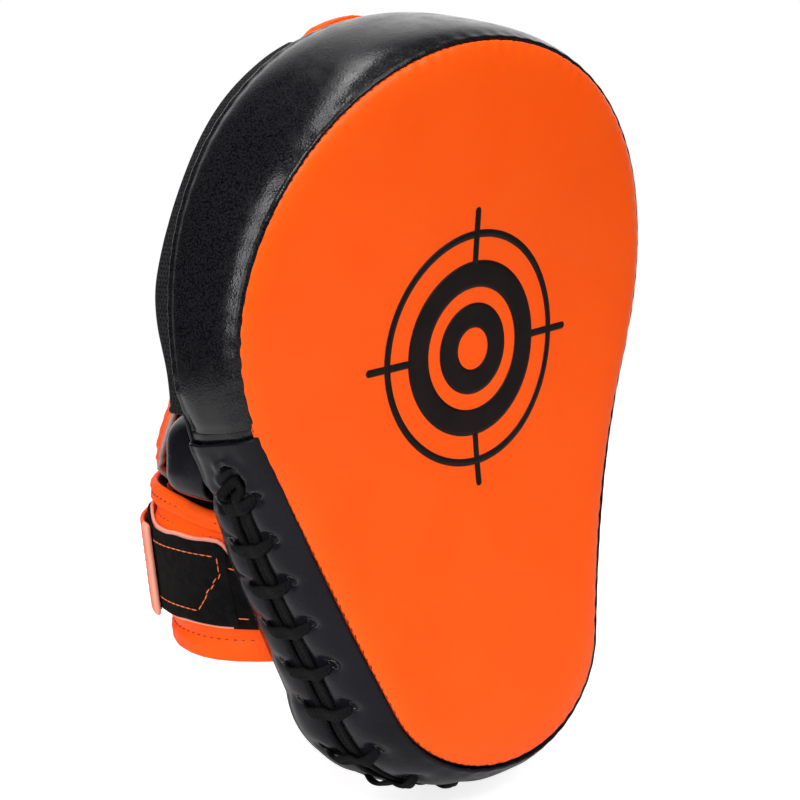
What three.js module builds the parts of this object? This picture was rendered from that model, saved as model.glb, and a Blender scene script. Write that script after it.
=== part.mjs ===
// Curved focus mitt: a striking pad with a laced gusset, a finger hood, a hand cover and a wrist cuff.
// Millimetres. The origin is the middle of the wearer's palm. +Z points to the fingertips, -Y is the
// way the striking face looks, and +X is on the right when the face is seen from the front.
import * as THREE from "three";
import { mergeVertices } from "three/addons/utils/BufferGeometryUtils.js";

// ---------------------------------------------------------------- driving dimensions
const face = {
  y: -75, // deepest point of the hollow face, in front of the palm
  top: { width: 94.9, height: 86, middle: 50 }, // half width and half height of the upper ellipse
  bottom: { width: 52, height: 40, middle: -70 }, // the same for the lower ellipse
  dish: 338, // radius of the hollow along the height
  flare: 2.54e-8, // how much the ends of the hollow straighten out, per mm cubed
  crown: 5.65e-4, // sideways crown, per mm
};
const waist = { from: -0.401, to: -0.271, upperPull: 0.47, lowerPull: 0.36 }; // joins the two ellipses
const back = { upper: -36, lower: -25, lowerFrom: -45 }; // where the pad's back lies
const seam = { jointTop: 25.7, jointBottom: 21.7 }; // heights of the band that joins the gussets
const wall = {
  leanUp: 9.4, // how far the gusset leans out at the top, from face to back
  leanDown: 14, // the same at the bottom
  bulge: 3.3, // how far the gusset swells out at mid depth
  bulgeLow: 3.4, // extra swelling under the joint band
  roll: 3.4, // how squarely the swelling rolls over at its edges
};
const skin = { thick: 1.4, gap: 0.3 };
const layers = {
  middle: 10, coreFrom: 0.42, coreTo: 0.66, frontCorners: [0.15, 0.28], rearCorners: [0.84], backInset: 0.5,
};
const gusset = { front: 0.05, rear: 0.955, lining: 1.4 };
const lacing = {
  frontEdge: 0.5, rearEdge: 0.6, start: -6, wraps: 21, reach: 12.5, width: 3.2, thick: 1.8, lift: 0.8,
  narrowFrom: 8, narrowOver: 18, // where the front strip narrows to make room for the lacing
};
const hood = {
  depth: 49, shallow: 21.5, depthFrom: 50, depthOver: 55, // deep at the knuckles, shallow at the fingertips
  middle: 24, seamHalf: 29, mouthHalf: 74, squareTop: 2, flareFrom: 44,
  rises: [0, 0.15, 0.3, 0.45, 0.6, 0.72, 0.82, 0.9, 0.955, 0.985, 0.998],
};
const mesh = { gap: 1.6, low: 0.03, high: 0.93, top: 0.24, taut: 0.4, tautOver: 0.35, thick: 1.2 };
const cover = { bottom: -8.6, bottomHalf: 64, foam: 4, lining: 1, hem: 4.5 };
const cuff = {
  top: -10, bottom: -71.5, width: 68.2, spread: 0.03, middle: 3, depth: 45, square: 2.4, straight: 0.72,
  sewnGap: 1.2, frontX: 61, taper: 0.17, foam: 4.5, lining: 1, hem: 1.5, stations: 16,
  leftEnd: 0, rightEnd: 0.1, // the cuff's two halves end on either side of the slit at the back
};
const rim = { tall: 9.6, thick: 1.5, bow: 0.8 };
const strap = { lift: 0.4, top: -21, bottom: -57, thick: 1.2, sewn: 0.99, leftEnd: -0.05, rightEnd: 0.12 };
const tape = { thick: 1, margin: 1, from: -0.86, to: -0.08, endFrom: -0.95, endTo: -0.875 };
const hook = { thick: 0.9, margin: 2, from: -0.58, to: -0.14 };
const tail = { top: -24, bottom: -58, root: 0.26, end: -0.6, thick: 1.6, clear: 0.5, rise: 0.08 };
const palm = { halfWidth: 85, middle: 7.5, halfHeight: 16.5, depth: 29, clear: 1, square: 0.5, puff: 6 };
const steps = { upper: 12, lower: 12, discRings: 4, aroundPalm: 24 };

// ---------------------------------------------------------------- outline of the striking face
function sideOfOutline() {
  const top = face.top;
  const low = face.bottom;
  const from = new THREE.Vector2(
    top.width * Math.cos(waist.from),
    top.middle + top.height * Math.sin(waist.from),
  );
  const to = new THREE.Vector2(
    low.width * Math.cos(waist.to),
    low.middle + low.height * Math.sin(waist.to),
  );
  const third = (from.y - to.y) / 3;
  const path = new THREE.Path();
  path.absellipse(0, top.middle, top.width, top.height, Math.PI / 2, waist.from, true);
  const upperHandle = from.x - waist.upperPull * third;
  const lowerHandle = to.x + waist.lowerPull * third;
  path.bezierCurveTo(upperHandle, from.y - third, lowerHandle, to.y + third, to.x, to.y);
  path.absellipse(0, low.middle, low.width, low.height, waist.to, -Math.PI / 2, true);
  return path;
}

const outline = sideOfOutline();
const outlineFine = outline.getSpacedPoints(600);

function shareAtHeight(z) {
  return outlineFine.findIndex((p) => p.y <= z) / 600;
}

function sampleAt(share, side) {
  const p = outline.getPointAt(Math.min(share, 1));
  const t = outline.getTangentAt(Math.min(share, 1));
  const atPole = share <= 0 || share >= 1;
  const normal = new THREE.Vector2(atPole ? 0 : -t.y, atPole ? (share <= 0 ? 1 : -1) : t.x).normalize();
  return { x: side * p.x, z: p.y, nx: side * normal.x, nz: normal.y };
}

// The samples run from the top centre down the right side and up the left one. The joint bands have
// a sample on each edge, so every layer of the wall shares the same corners.
function outlineRing() {
  const upper = shareAtHeight(seam.jointTop);
  const lower = shareAtHeight(seam.jointBottom);
  const shares = [];
  for (let i = 0; i <= steps.upper; i += 1) shares.push((upper * i) / steps.upper);
  for (let i = 0; i <= steps.lower; i += 1) shares.push(lower + ((1 - lower) * i) / steps.lower);
  const right = shares.map((s) => sampleAt(s, 1));
  const left = shares.slice(1, -1).reverse().map((s) => sampleAt(s, -1));
  return [...right, ...left];
}

const ring = outlineRing();
const count = ring.length;
const jointRight = steps.upper;
const jointLeft = count - steps.upper;

function mix(a, b, t) {
  return a + (b - a) * t;
}

function smooth(t) {
  const c = Math.min(Math.max(t, 0), 1);
  return c * c * (3 - 2 * c);
}

function faceY(x, z) {
  return face.y - (z * z) / (2 * face.dish) + face.flare * z ** 4 + face.crown * x * x;
}

function backY(z) {
  const t = (seam.jointBottom - z) / (seam.jointBottom - back.lowerFrom);
  return mix(back.upper, back.lower, smooth(t));
}

// A point on the gusset's outer skin, t from 0 at the face to 1 at the back, moved in by inset.
function wallPoint(sample, t, inset = 0, push = 0) {
  const up = Math.max(sample.nz, 0);
  const down = Math.max(-sample.nz, 0);
  const lean = (wall.leanUp * up * up + wall.leanDown * down ** 1.5) * t;
  const low = smooth((seam.jointTop - sample.z) / 50);
  const swell = (wall.bulge + up + wall.bulgeLow * low) * (1 - Math.abs(2 * t - 1) ** wall.roll);
  const out = lean + swell - inset;
  const x = sample.x + sample.nx * out;
  const z = sample.z + sample.nz * out;
  return new THREE.Vector3(x, mix(faceY(x, z), backY(z), t) + push, z);
}

// ---------------------------------------------------------------- mesh builders
function solid(triangles) {
  const positions = new Float32Array(triangles.flat().flatMap((p) => [p.x, p.y, p.z]));
  const loose = new THREE.BufferGeometry();
  loose.setAttribute("position", new THREE.BufferAttribute(positions, 3));
  const joined = mergeVertices(loose, 1e-3);
  const index = Array.from(joined.index.array);
  const kept = [];
  for (let i = 0; i < index.length; i += 3) {
    const [a, b, c] = index.slice(i, i + 3);
    if (a !== b && b !== c && c !== a) kept.push([a, b, c]);
  }
  const at = (k) => new THREE.Vector3().fromBufferAttribute(joined.attributes.position, k);
  const volume = kept.reduce((sum, [a, b, c]) => sum + at(a).dot(at(b).cross(at(c))), 0);
  joined.setIndex(kept.flatMap(([a, b, c]) => (volume > 0 ? [a, b, c] : [a, c, b])));
  joined.computeVertexNormals();
  return joined;
}

// Two triangles across the shorter diagonal, so two sheets over the same corners fold the same way.
function quad(a, b, c, d) {
  const longer = a.distanceTo(c) - b.distanceTo(d);
  const first = (p) => p.x + 2 * p.z;
  const tie = Math.max(first(a), first(c)) < Math.max(first(b), first(d));
  const split = Math.abs(longer) < 0.01 ? tie : longer > 0;
  return split ? [[a, b, d], [b, c, d]] : [[a, b, c], [a, c, d]];
}

// A closed skin through rings of points. A ring may be a single point repeated, which closes the end.
function skinThrough(rings) {
  const triangles = [];
  for (let j = 0; j + 1 < rings.length; j += 1) {
    const n = rings[j].length;
    for (let i = 0; i < n; i += 1) {
      const k = (i + 1) % n;
      triangles.push(...quad(rings[j][i], rings[j][k], rings[j + 1][k], rings[j + 1][i]));
    }
  }
  return solid(triangles);
}

function gridNormals(grid) {
  return grid.map((row, j) => row.map((p, i) => {
    const along = row[Math.min(i + 1, row.length - 1)].clone().sub(row[Math.max(i - 1, 0)]);
    const across = grid[Math.min(j + 1, grid.length - 1)][i].clone().sub(grid[Math.max(j - 1, 0)][i]);
    return along.cross(across).normalize();
  }));
}

// A sheet between two depths under a grid of points. The depth is measured along the grid's normal,
// turned to point away from the point given as inside.
function sheet(grid, outer, inner, inside) {
  const normals = gridNormals(grid);
  const middle = grid[Math.floor(grid.length / 2)];
  const k = Math.floor(middle.length / 2);
  const outward = middle[k].clone().sub(inside).dot(normals[Math.floor(grid.length / 2)][k]) > 0 ? 1 : -1;
  const depthOf = (depth, j, i) => (typeof depth === "function" ? depth(j, i) : depth);
  const level = (depth) => grid.map((row, j) => row.map((p, i) => (
    p.clone().addScaledVector(normals[j][i], -outward * depthOf(depth, j, i)))));
  const a = level(outer);
  const b = level(inner);
  const triangles = [];
  const rows = grid.length - 1;
  const columns = grid[0].length - 1;
  for (let j = 0; j < rows; j += 1) {
    for (let i = 0; i < columns; i += 1) {
      triangles.push(...quad(a[j][i], a[j][i + 1], a[j + 1][i + 1], a[j + 1][i]));
      triangles.push(...quad(b[j][i], b[j + 1][i], b[j + 1][i + 1], b[j][i + 1]));
    }
    triangles.push(...quad(a[j][0], a[j + 1][0], b[j + 1][0], b[j][0]));
    triangles.push(...quad(a[j][columns], b[j][columns], b[j + 1][columns], a[j + 1][columns]));
  }
  for (let i = 0; i < columns; i += 1) {
    triangles.push(...quad(a[0][i], b[0][i], b[0][i + 1], a[0][i + 1]));
    triangles.push(...quad(a[rows][i], a[rows][i + 1], b[rows][i + 1], b[rows][i]));
  }
  return solid(triangles);
}

function grid(rows, columns, pointAt) {
  const line = (j) => Array.from({ length: columns + 1 }, (_, i) => pointAt(j / rows, i / columns));
  return Array.from({ length: rows + 1 }, (_, j) => line(j));
}

// ---------------------------------------------------------------- materials and the assembly
const group = new THREE.Group();
const orangeLeather = { color: 0xff5a14, roughness: 0.5, metalness: 0 };
const blackLeather = { color: 0x1c1c22, roughness: 0.45, metalness: 0 };
const greyFoam = { color: 0x4a4d52, roughness: 0.95, metalness: 0 };
const paleFoam = { color: 0xd9d4c4, roughness: 0.95, metalness: 0 };
const blackFabric = { color: 0x0d0d0f, roughness: 0.95, metalness: 0 };
const blackCord = { color: 0x101012, roughness: 0.8, metalness: 0 };

function add(name, geometry, finish) {
  const mesh = new THREE.Mesh(geometry, new THREE.MeshStandardMaterial(finish));
  mesh.name = name;
  group.add(mesh);
}

// ---------------------------------------------------------------- the pad's layers
const foamInset = skin.thick + 2 * skin.gap + gusset.lining;

// One layer between two levels. A level is a share of the depth plus an offset in mm.
function padLayer(from, to, inset, wallShares) {
  const { middle } = layers;
  const rimAt = (t, push) => ring.map((s) => wallPoint(s, t, inset, push));
  const discRing = (level, share) => ring.map((s) => {
    const x = s.x * share;
    const z = middle + (s.z - middle) * share;
    return new THREE.Vector3(x, mix(faceY(x, z), backY(z), level.t) + level.push, z);
  });
  const disc = (level) => {
    const rings = [];
    for (let k = 0; k < steps.discRings; k += 1) rings.push(discRing(level, k / steps.discRings));
    if (inset < foamInset) rings.push(ring.map((s) => wallPoint(s, level.t, foamInset, level.push)));
    return [...rings, rimAt(level.t, level.push)];
  };
  const between = wallShares.map((t) => rimAt(t, 0));
  return skinThrough([...disc(from), ...between, ...disc(to).reverse()]);
}

function buildPad() {
  const shell = skin.thick + skin.gap;
  const { coreFrom, coreTo, frontCorners, rearCorners } = layers;
  const level = (t, push) => ({ t, push });
  const foam = (from, to, corners) => padLayer(from, to, foamInset, corners);
  add("face_panel", padLayer(level(0, 0), level(0, skin.thick), 0, []), orangeLeather);
  add("impact_foam", foam(level(0, shell), level(coreFrom, 0), frontCorners), greyFoam);
  add("core_foam", foam(level(coreFrom, skin.gap), level(coreTo, 0), []), paleFoam);
  add("rear_foam", foam(level(coreTo, skin.gap), level(1, -shell), rearCorners), greyFoam);
  add("back_panel", padLayer(level(1, -skin.thick), level(1, 0), layers.backInset, []), blackLeather);
}

// ---------------------------------------------------------------- the gusset round the pad's side
const padMiddle = new THREE.Vector3(0, -55, layers.middle);

function wallStrip(first, last, shares, outer, inner) {
  const samples = [];
  for (let i = first; i <= last; i += 1) samples.push(ring[(i + count) % count]);
  const shareAt = (share, z) => (typeof share === "function" ? share(z) : share);
  const points = shares.map((share) => samples.map((s) => wallPoint(s, shareAt(share, s.z))));
  return sheet(points, outer, inner, padMiddle);
}

// The front strip reaches right back under the joint band, then narrows to the lacing.
function frontStripRear(z) {
  return mix(lacing.frontEdge, gusset.rear, smooth((z + lacing.narrowFrom) / lacing.narrowOver));
}

function buildGusset() {
  const { front, rear } = gusset;
  const under = skin.thick + skin.gap;
  const liningBottom = under + gusset.lining - skin.gap;
  const upperShares = [front, 0.15, 0.35, 0.6, 0.82, rear];
  const liningShares = [0.12, 0.35, 0.6, 0.88];
  const frontShares = [0, 0.2, 0.5, 0.8, 1].map((k) => (z) => mix(front, frontStripRear(z), k));
  const rearShares = [lacing.rearEdge, 0.72, 0.84, rear];
  const tongueShares = [0.42, 0.55, 0.68];
  const shortBy = 3; // the rear strip stops this many corners short of the joint bands
  const from = jointRight + 1;
  const to = jointLeft - 1;
  const upper = (shares, outer, inner) => wallStrip(-jointRight, jointRight, shares, outer, inner);
  const lower = (shares, short, outer, inner) => wallStrip(from + short, to - short, shares, outer, inner);
  add("upper_gusset", upper(upperShares, 0, skin.thick), blackLeather);
  add("upper_gusset_padding", upper(liningShares, under, liningBottom), paleFoam);
  add("lower_gusset_front", lower(frontShares, 0, 0, skin.thick), blackLeather);
  add("lower_gusset_rear", lower(rearShares, shortBy, 0, skin.thick), blackLeather);
  add("lace_tongue", lower(tongueShares, shortBy - 1, under, liningBottom), blackFabric);
  for (const [side, at] of [["right", jointRight], ["left", jointLeft - 1]]) {
    add(`gusset_joint_${side}`, jointBand(at, [front, 0.35, 0.65, rear]), blackLeather);
  }
}

// The folded band sits in the slot between the two gussets, with a gap on each side.
function jointBand(at, shares) {
  const inSlot = (k) => {
    const a = ring[at];
    const b = ring[at + 1];
    const keys = ["x", "z", "nx", "nz"];
    return Object.fromEntries(keys.map((key) => [key, mix(a[key], b[key], k)]));
  };
  const points = shares.map((t) => [0.12, 0.88].map((k) => wallPoint(inSlot(k), t)));
  return sheet(points, 0.3, skin.thick, padMiddle);
}

// ---------------------------------------------------------------- the lace
// The lace zigzags over the gap between the two lower strips, from one side round to the other.
function laceFrame(run) {
  const first = shareAtHeight(lacing.start);
  const length = 2 * (1 - first);
  const along = first + run * length;
  const side = along <= 1 ? 1 : -1;
  const sample = sampleAt(along <= 1 ? along : 2 - along, side);
  const middle = (lacing.frontEdge + lacing.rearEdge) / 2;
  const depth = backY(sample.z) - faceY(sample.x, sample.z);
  const share = middle + (lacing.reach / depth) * Math.cos(Math.PI * run * lacing.wraps);
  const lift = lacing.lift + lacing.thick / 2;
  return { point: wallPoint(sample, share, -lift), out: new THREE.Vector3(sample.nx, 0, sample.nz) };
}

function laceGeometry() {
  const total = lacing.wraps * 6;
  const rings = [];
  for (let k = 0; k <= total; k += 1) {
    const here = laceFrame(k / total);
    const before = laceFrame(Math.max(k - 0.5, 0) / total).point;
    const after = laceFrame(Math.min(k + 0.5, total) / total).point;
    const across = after.sub(before).cross(here.out).normalize().multiplyScalar(lacing.width / 2);
    const up = here.out.clone().multiplyScalar(lacing.thick / 2);
    const corner = (a, b) => here.point.clone().addScaledVector(across, a).addScaledVector(up, b);
    rings.push([corner(1, 1), corner(-1, 1), corner(-1, -1), corner(1, -1)]);
  }
  const cap = (corners) => {
    const centre = corners[0].clone().add(corners[2]).multiplyScalar(0.5);
    return corners.map(() => centre);
  };
  return skinThrough([cap(rings[0]), ...rings, cap(rings[total])]);
}

// ---------------------------------------------------------------- palm cushion behind the pad
function palmDome(share, angle, inset) {
  const bend = (v) => Math.sign(v) * Math.abs(v) ** palm.square;
  const x = (palm.halfWidth - inset) * bend(Math.cos(angle)) * share;
  const z = palm.middle + (palm.halfHeight - inset) * bend(Math.sin(angle)) * share;
  const rise = (palm.depth - inset) * (1 - share ** palm.puff) ** 0.4;
  return new THREE.Vector3(x, backY(z) + palm.clear + rise, z);
}

function palmRings(inset) {
  const shares = [0, 0.5, 0.72, 0.86, 0.94, 0.985, 1];
  const around = steps.aroundPalm;
  return shares.map((share) => Array.from({ length: around }, (_, i) => (
    palmDome(share, (2 * Math.PI * i) / around, inset))));
}

function buildPalm() {
  const outer = palmRings(0);
  const inner = palmRings(skin.thick);
  const filling = palmRings(skin.thick + skin.gap);
  const last = filling[filling.length - 1];
  const middle = last.map(() => new THREE.Vector3(0, backY(palm.middle) + palm.clear, palm.middle));
  add("palm_cushion_cover", skinThrough([...outer, ...inner.reverse()]), blackLeather);
  add("palm_cushion_foam", skinThrough([...filling, middle]), paleFoam);
}

// ---------------------------------------------------------------- finger hood and hand cover
const rearRing = ring.map((s) => wallPoint(s, 1, 0.6));

// Distance from the hood's centre to the pad's rear edge, in a given direction.
function rearReach(angle) {
  const polar = rearRing.map((p) => ({
    angle: Math.atan2(p.x, p.z - hood.middle),
    reach: Math.hypot(p.x, p.z - hood.middle),
  })).sort((a, b) => a.angle - b.angle);
  const k = polar.findIndex((p) => p.angle >= angle);
  if (k <= 0) return polar[k === 0 ? 0 : polar.length - 1].reach;
  const a = polar[k - 1];
  const b = polar[k];
  return mix(a.reach, b.reach, (angle - a.angle) / (b.angle - a.angle));
}

function hoodY(x, z) {
  const dz = z - hood.middle;
  const angle = Math.atan2(x, dz);
  const share = Math.min(Math.hypot(x, dz) / rearReach(angle), 1);
  const power = 2 + hood.squareTop * Math.max(Math.cos(angle), 0) ** 4;
  const depth = mix(hood.depth, hood.shallow, smooth((z - hood.depthFrom) / hood.depthOver));
  return back.upper + 0.4 + depth * (1 - share ** power) ** (1 / power);
}

function coverY(x, z) {
  const share = Math.min(Math.abs(x / cuff.width), 1);
  const low = cuff.middle + cuff.depth * (1 - share ** cuff.square) ** (1 / cuff.square);
  const flare = smooth((hood.flareFrom - z) / (hood.flareFrom - cover.bottom));
  return mix(hoodY(x, Math.max(z, hood.middle)), low, flare);
}

// Half the hand cover's width, from its hem at the cuff to its narrow end at the pad's rear seam.
function coverHalf(z) {
  if (z < hood.middle) {
    return mix(cover.bottomHalf, hood.mouthHalf, (z - cover.bottom) / (hood.middle - cover.bottom));
  }
  const top = rearRing[0].z;
  return mix(hood.mouthHalf, hood.seamHalf, ((z - hood.middle) / (top - hood.middle)) ** 0.8);
}

// Height of the pad's rear edge over a place near the middle.
function seamHeight(x) {
  const k = rearRing.findIndex((p) => p.x >= Math.abs(x));
  const a = rearRing[k - 1] ?? rearRing[0];
  const b = rearRing[k];
  return k <= 0 ? rearRing[0].z : mix(a.z, b.z, (Math.abs(x) - a.x) / (b.x - a.x));
}

// A place on the hand cover: rise is 0 at the mouth of the hood and 1 at the seam, across is -1 to 1.
function coverPlace(rise, across) {
  const half = coverHalf(mix(hood.middle, rearRing[0].z, rise));
  const x = half * across;
  const z = mix(hood.middle, seamHeight(x), rise);
  return new THREE.Vector3(x, coverY(x, z), z);
}

// The first and last rows are the cover's hems, which the foam and the lining stop short of.
function coverGrid() {
  const columns = Array.from({ length: 9 }, (_, i) => i / 4 - 1);
  const lowHeights = [cover.bottom, cover.bottom + cover.hem, 4, 14];
  const low = lowHeights.map((z) => columns.map((u) => {
    const x = coverHalf(z) * u;
    return new THREE.Vector3(x, coverY(x, z), z);
  }));
  return [...low, ...hood.rises.map((rise) => columns.map((u) => coverPlace(rise, u)))];
}

// The mesh sides fill the space between the pad's rear seam and the hand cover's edge.
function meshGrid(side) {
  const first = shareAtHeight(seam.jointTop + 1);
  return grid(9, 5, (v, u) => {
    const inner = coverPlace(mix(mesh.low, mesh.high, v), 1);
    const sample = sampleAt(mix(first, first * mesh.top, v), 1);
    const outer = wallPoint(sample, 1, 0.8);
    const share = 1 - (1 - u) ** 1.5;
    const x = mix(outer.x, inner.x + mesh.gap, share);
    const z = mix(outer.z, inner.z, share);
    const loose = mix(mesh.taut, 1, smooth(v / mesh.tautOver));
    const y = mix(mix(back.upper, coverY(inner.x + mesh.gap, inner.z), share), coverY(x, z), loose);
    return new THREE.Vector3(side * x, y, z);
  });
}

function buildHood() {
  const inside = new THREE.Vector3(0, -30, 40);
  const panel = coverGrid();
  const padding = panel.slice(1, -1);
  const foamTop = skin.thick + skin.gap;
  const foamBottom = foamTop + cover.foam;
  add("hand_cover", sheet(panel, 0, skin.thick, inside), orangeLeather);
  add("hand_cover_foam", sheet(padding, foamTop, foamBottom, inside), paleFoam);
  add("hand_cover_lining", sheet(padding, foamBottom + 0.3, foamBottom + 0.3 + cover.lining, inside),
    blackFabric);
  add("hood_mesh_right", sheet(meshGrid(1), 0, mesh.thick, inside), blackFabric);
  add("hood_mesh_left", sheet(meshGrid(-1), 0, mesh.thick, inside), blackFabric);
}

// ---------------------------------------------------------------- wrist cuff and strap
const strapMiddle = (strap.top + strap.bottom) / 2;

// The cuff is a U seen from above: s is -1 and 1 at its sewn front edges and 0 at the middle of its back.
function cuffPoint(s, z) {
  const { straight } = cuff; // share of the half where the round back ends and the straight side begins
  const q = Math.abs(s);
  const width = cuff.width + cuff.spread * (z - strap.bottom);
  const power = 2 / cuff.square;
  const frontX = cuff.frontX + cuff.taper * (z - strapMiddle);
  if (q <= straight) {
    const angle = (q / straight) * (Math.PI / 2);
    const x = width * Math.sin(angle) ** power;
    const y = cuff.middle + cuff.depth * Math.max(Math.cos(angle), 0) ** power;
    return new THREE.Vector3(Math.sign(s) * x, y, z);
  }
  const r = (q - straight) / (1 - straight);
  const x = width - (width - frontX) * r * r;
  return new THREE.Vector3(Math.sign(s) * x, mix(cuff.middle, backY(z) + cuff.sewnGap, r), z);
}

// Every layer of the cuff turns its corners at the same stations, so the layers stay apart.
function stations(from, to) {
  const between = [];
  for (let k = -cuff.stations; k <= cuff.stations; k += 1) between.push(k / cuff.stations);
  return [from, ...between.filter((s) => s > from + 0.01 && s < to - 0.01), to];
}

function cuffGrid(from, to, low, high, rows) {
  const along = stations(from, to);
  const row = (j) => along.map((s) => cuffPoint(s, mix(low, high, j / rows)));
  return Array.from({ length: rows + 1 }, (_, j) => row(j));
}

function buildCuffHalf(side, from, to) {
  const inside = new THREE.Vector3(0, 0, cuff.bottom);
  const foamTop = skin.thick + skin.gap;
  const foamBottom = foamTop + cuff.foam;
  const wrap = cuffGrid(from, to, cuff.bottom, cuff.top, 2);
  const padding = cuffGrid(from, to, cuff.bottom + cuff.hem, cuff.top - cuff.hem, 2);
  const roll = cuffGrid(from, to, cuff.top - rim.tall, cuff.top, 2);
  const liningTop = foamBottom + skin.gap;
  add(`cuff_${side}_outer`, sheet(wrap, 0, skin.thick, inside), orangeLeather);
  add(`cuff_${side}_foam`, sheet(padding, foamTop, foamBottom, inside), paleFoam);
  add(`cuff_${side}_lining`, sheet(padding, liningTop, liningTop + cuff.lining, inside), blackFabric);
  const bowed = (row) => -rim.thick - (row === 1 ? rim.bow : 0);
  add(`cuff_${side}_rim`, sheet(roll, bowed, -strap.lift, inside), orangeLeather);
}

// A band over the cuff, from one station to another, between two depths under the cuff's surface.
function band(name, from, to, ends, depths, finish) {
  const inside = new THREE.Vector3(0, 0, strapMiddle);
  add(name, sheet(cuffGrid(from, to, ends.bottom, ends.top, 1), depths[0], depths[1], inside), finish);
}

function inset(ends, margin) {
  return { top: ends.top - margin, bottom: ends.bottom + margin };
}

// The strap's two sewn ends, the loop tape on the left one, and the loose tail with its hook tape.
function buildStrap() {
  const base = strap.lift + strap.thick;
  const loopTop = base + skin.gap + tape.thick;
  const hookTop = loopTop + skin.gap + hook.thick;
  const strapDepths = [-base, -strap.lift];
  const loopDepths = [-loopTop, -base - skin.gap];
  const loopEnds = inset(strap, tape.margin);
  band("strap_left", -strap.sewn, strap.leftEnd, strap, strapDepths, orangeLeather);
  band("strap_right", strap.rightEnd, strap.sewn, strap, strapDepths, orangeLeather);
  band("loop_tape", tape.from, tape.to, loopEnds, loopDepths, blackFabric);
  band("loop_tape_end", tape.endFrom, tape.endTo, loopEnds, loopDepths, blackFabric);
  const hookDepths = [-hookTop, hook.thick - hookTop];
  band("hook_tape", hook.from, hook.to, inset(tail, hook.margin), hookDepths, blackFabric);
  const tailStations = stations(tail.end, tail.root);
  const under = (i) => {
    const share = smooth((tailStations[i] + tail.rise) / (tail.root + tail.rise));
    return mix(hookTop + skin.gap, base + tail.clear, share);
  };
  const tailDepths = [(j, i) => -under(i) - tail.thick, (j, i) => -under(i)];
  band("strap_tail", tail.end, tail.root, tail, tailDepths, orangeLeather);
}

buildPad();
buildGusset();
add("lace", laceGeometry(), blackCord);
buildPalm();
buildHood();
buildCuffHalf("left", -1, cuff.leftEnd);
buildCuffHalf("right", cuff.rightEnd, 1);
buildStrap();

export default group;
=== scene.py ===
import math
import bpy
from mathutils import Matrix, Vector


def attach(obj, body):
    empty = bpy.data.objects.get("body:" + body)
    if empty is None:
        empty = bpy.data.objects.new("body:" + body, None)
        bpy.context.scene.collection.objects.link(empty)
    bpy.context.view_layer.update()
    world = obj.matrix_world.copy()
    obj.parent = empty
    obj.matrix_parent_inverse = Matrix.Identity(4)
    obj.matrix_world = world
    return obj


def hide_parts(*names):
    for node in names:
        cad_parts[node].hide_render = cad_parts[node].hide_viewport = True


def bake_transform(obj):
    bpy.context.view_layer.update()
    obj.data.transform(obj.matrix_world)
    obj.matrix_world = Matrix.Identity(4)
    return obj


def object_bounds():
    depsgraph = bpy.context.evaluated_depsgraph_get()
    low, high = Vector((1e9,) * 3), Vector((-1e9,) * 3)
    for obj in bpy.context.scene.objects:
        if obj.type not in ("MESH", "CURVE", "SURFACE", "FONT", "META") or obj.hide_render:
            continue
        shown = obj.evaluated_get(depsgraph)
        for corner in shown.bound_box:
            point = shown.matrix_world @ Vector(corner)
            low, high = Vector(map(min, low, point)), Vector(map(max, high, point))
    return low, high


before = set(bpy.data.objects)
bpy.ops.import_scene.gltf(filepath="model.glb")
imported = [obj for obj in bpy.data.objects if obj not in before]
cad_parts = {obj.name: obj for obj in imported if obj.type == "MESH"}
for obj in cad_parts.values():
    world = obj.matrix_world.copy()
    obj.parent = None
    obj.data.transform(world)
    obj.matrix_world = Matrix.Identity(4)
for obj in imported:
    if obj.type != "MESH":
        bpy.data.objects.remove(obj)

from types import SimpleNamespace

import bmesh
import bpy
import numpy as np
from mathutils import Matrix, Vector, noise

cad_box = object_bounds()
MM = 0.001

# ---- driving dimensions, in mm
# The first block repeats the dimensions of the CAD part; the rest is the detail on top of it.
FACE = SimpleNamespace(y=-75.0, dish=338.0, flare=2.54e-8, crown=5.65e-4, middle=10.0)
TOP = SimpleNamespace(width=94.9, height=86.0, middle=50.0)
LOW = SimpleNamespace(width=52.0, height=40.0, middle=-70.0)
WAIST = SimpleNamespace(start=-0.401, end=-0.271, upper=0.47, lower=0.36)
BACK = SimpleNamespace(upper=-36.0, lower=-25.0, low_from=-45.0)
JOINT = SimpleNamespace(top=25.7, bottom=21.7, fall=3.7)
WALL = SimpleNamespace(up=9.4, down=14.0, bulge=3.3, low=3.4, roll=3.4)
HOOD = SimpleNamespace(depth=49.0, shallow=21.5, depth_from=50.0, depth_over=55.0, middle=24.0,
                       seam_half=25.5, mouth_half=74.0, square=2.0, flare_from=44.0)
MESH = SimpleNamespace(low=0.03, high=0.975, top=0.165, taut=0.4, taut_over=0.35, thick=1.2)
COVER = SimpleNamespace(bottom=-8.6, tuck=-15.0, bottom_half=64.0, thick=6.0, lining=0.9, edge_row=4.2,
                        hem_row=12.0)
CUFF = SimpleNamespace(top=-10.0, bottom=-71.5, width=68.2, spread=0.03, middle=3.0, depth=45.0,
                       square=2.4, straight=0.72, gap=1.2, front=61.0, taper=0.17, thick=6.0,
                       left_end=0.0, right_end=0.1)
STRAP = SimpleNamespace(lift=0.4, top=-21.0, bottom=-57.0, thick=1.2, sewn=0.99, left_end=-0.05,
                        right_end=0.12)
TAPE = SimpleNamespace(thick=1.0, start=-0.93, end=-0.08, tip_start=-0.985, tip_end=-0.915)
HOOK = SimpleNamespace(thick=0.9, start=-0.585, end=-0.14)
TAIL = SimpleNamespace(top=-24.0, bottom=-58.0, root=0.26, end=-0.6, thick=1.6, clear=0.5, rise=0.08,
                       hinge=(0.042, 0.0448, -0.041), fold=0.004)
PALM = SimpleNamespace(width=86.0, middle=6.5, height=18.5, depth=32.0, clear=1.0, square=0.5, puff=8)
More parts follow.
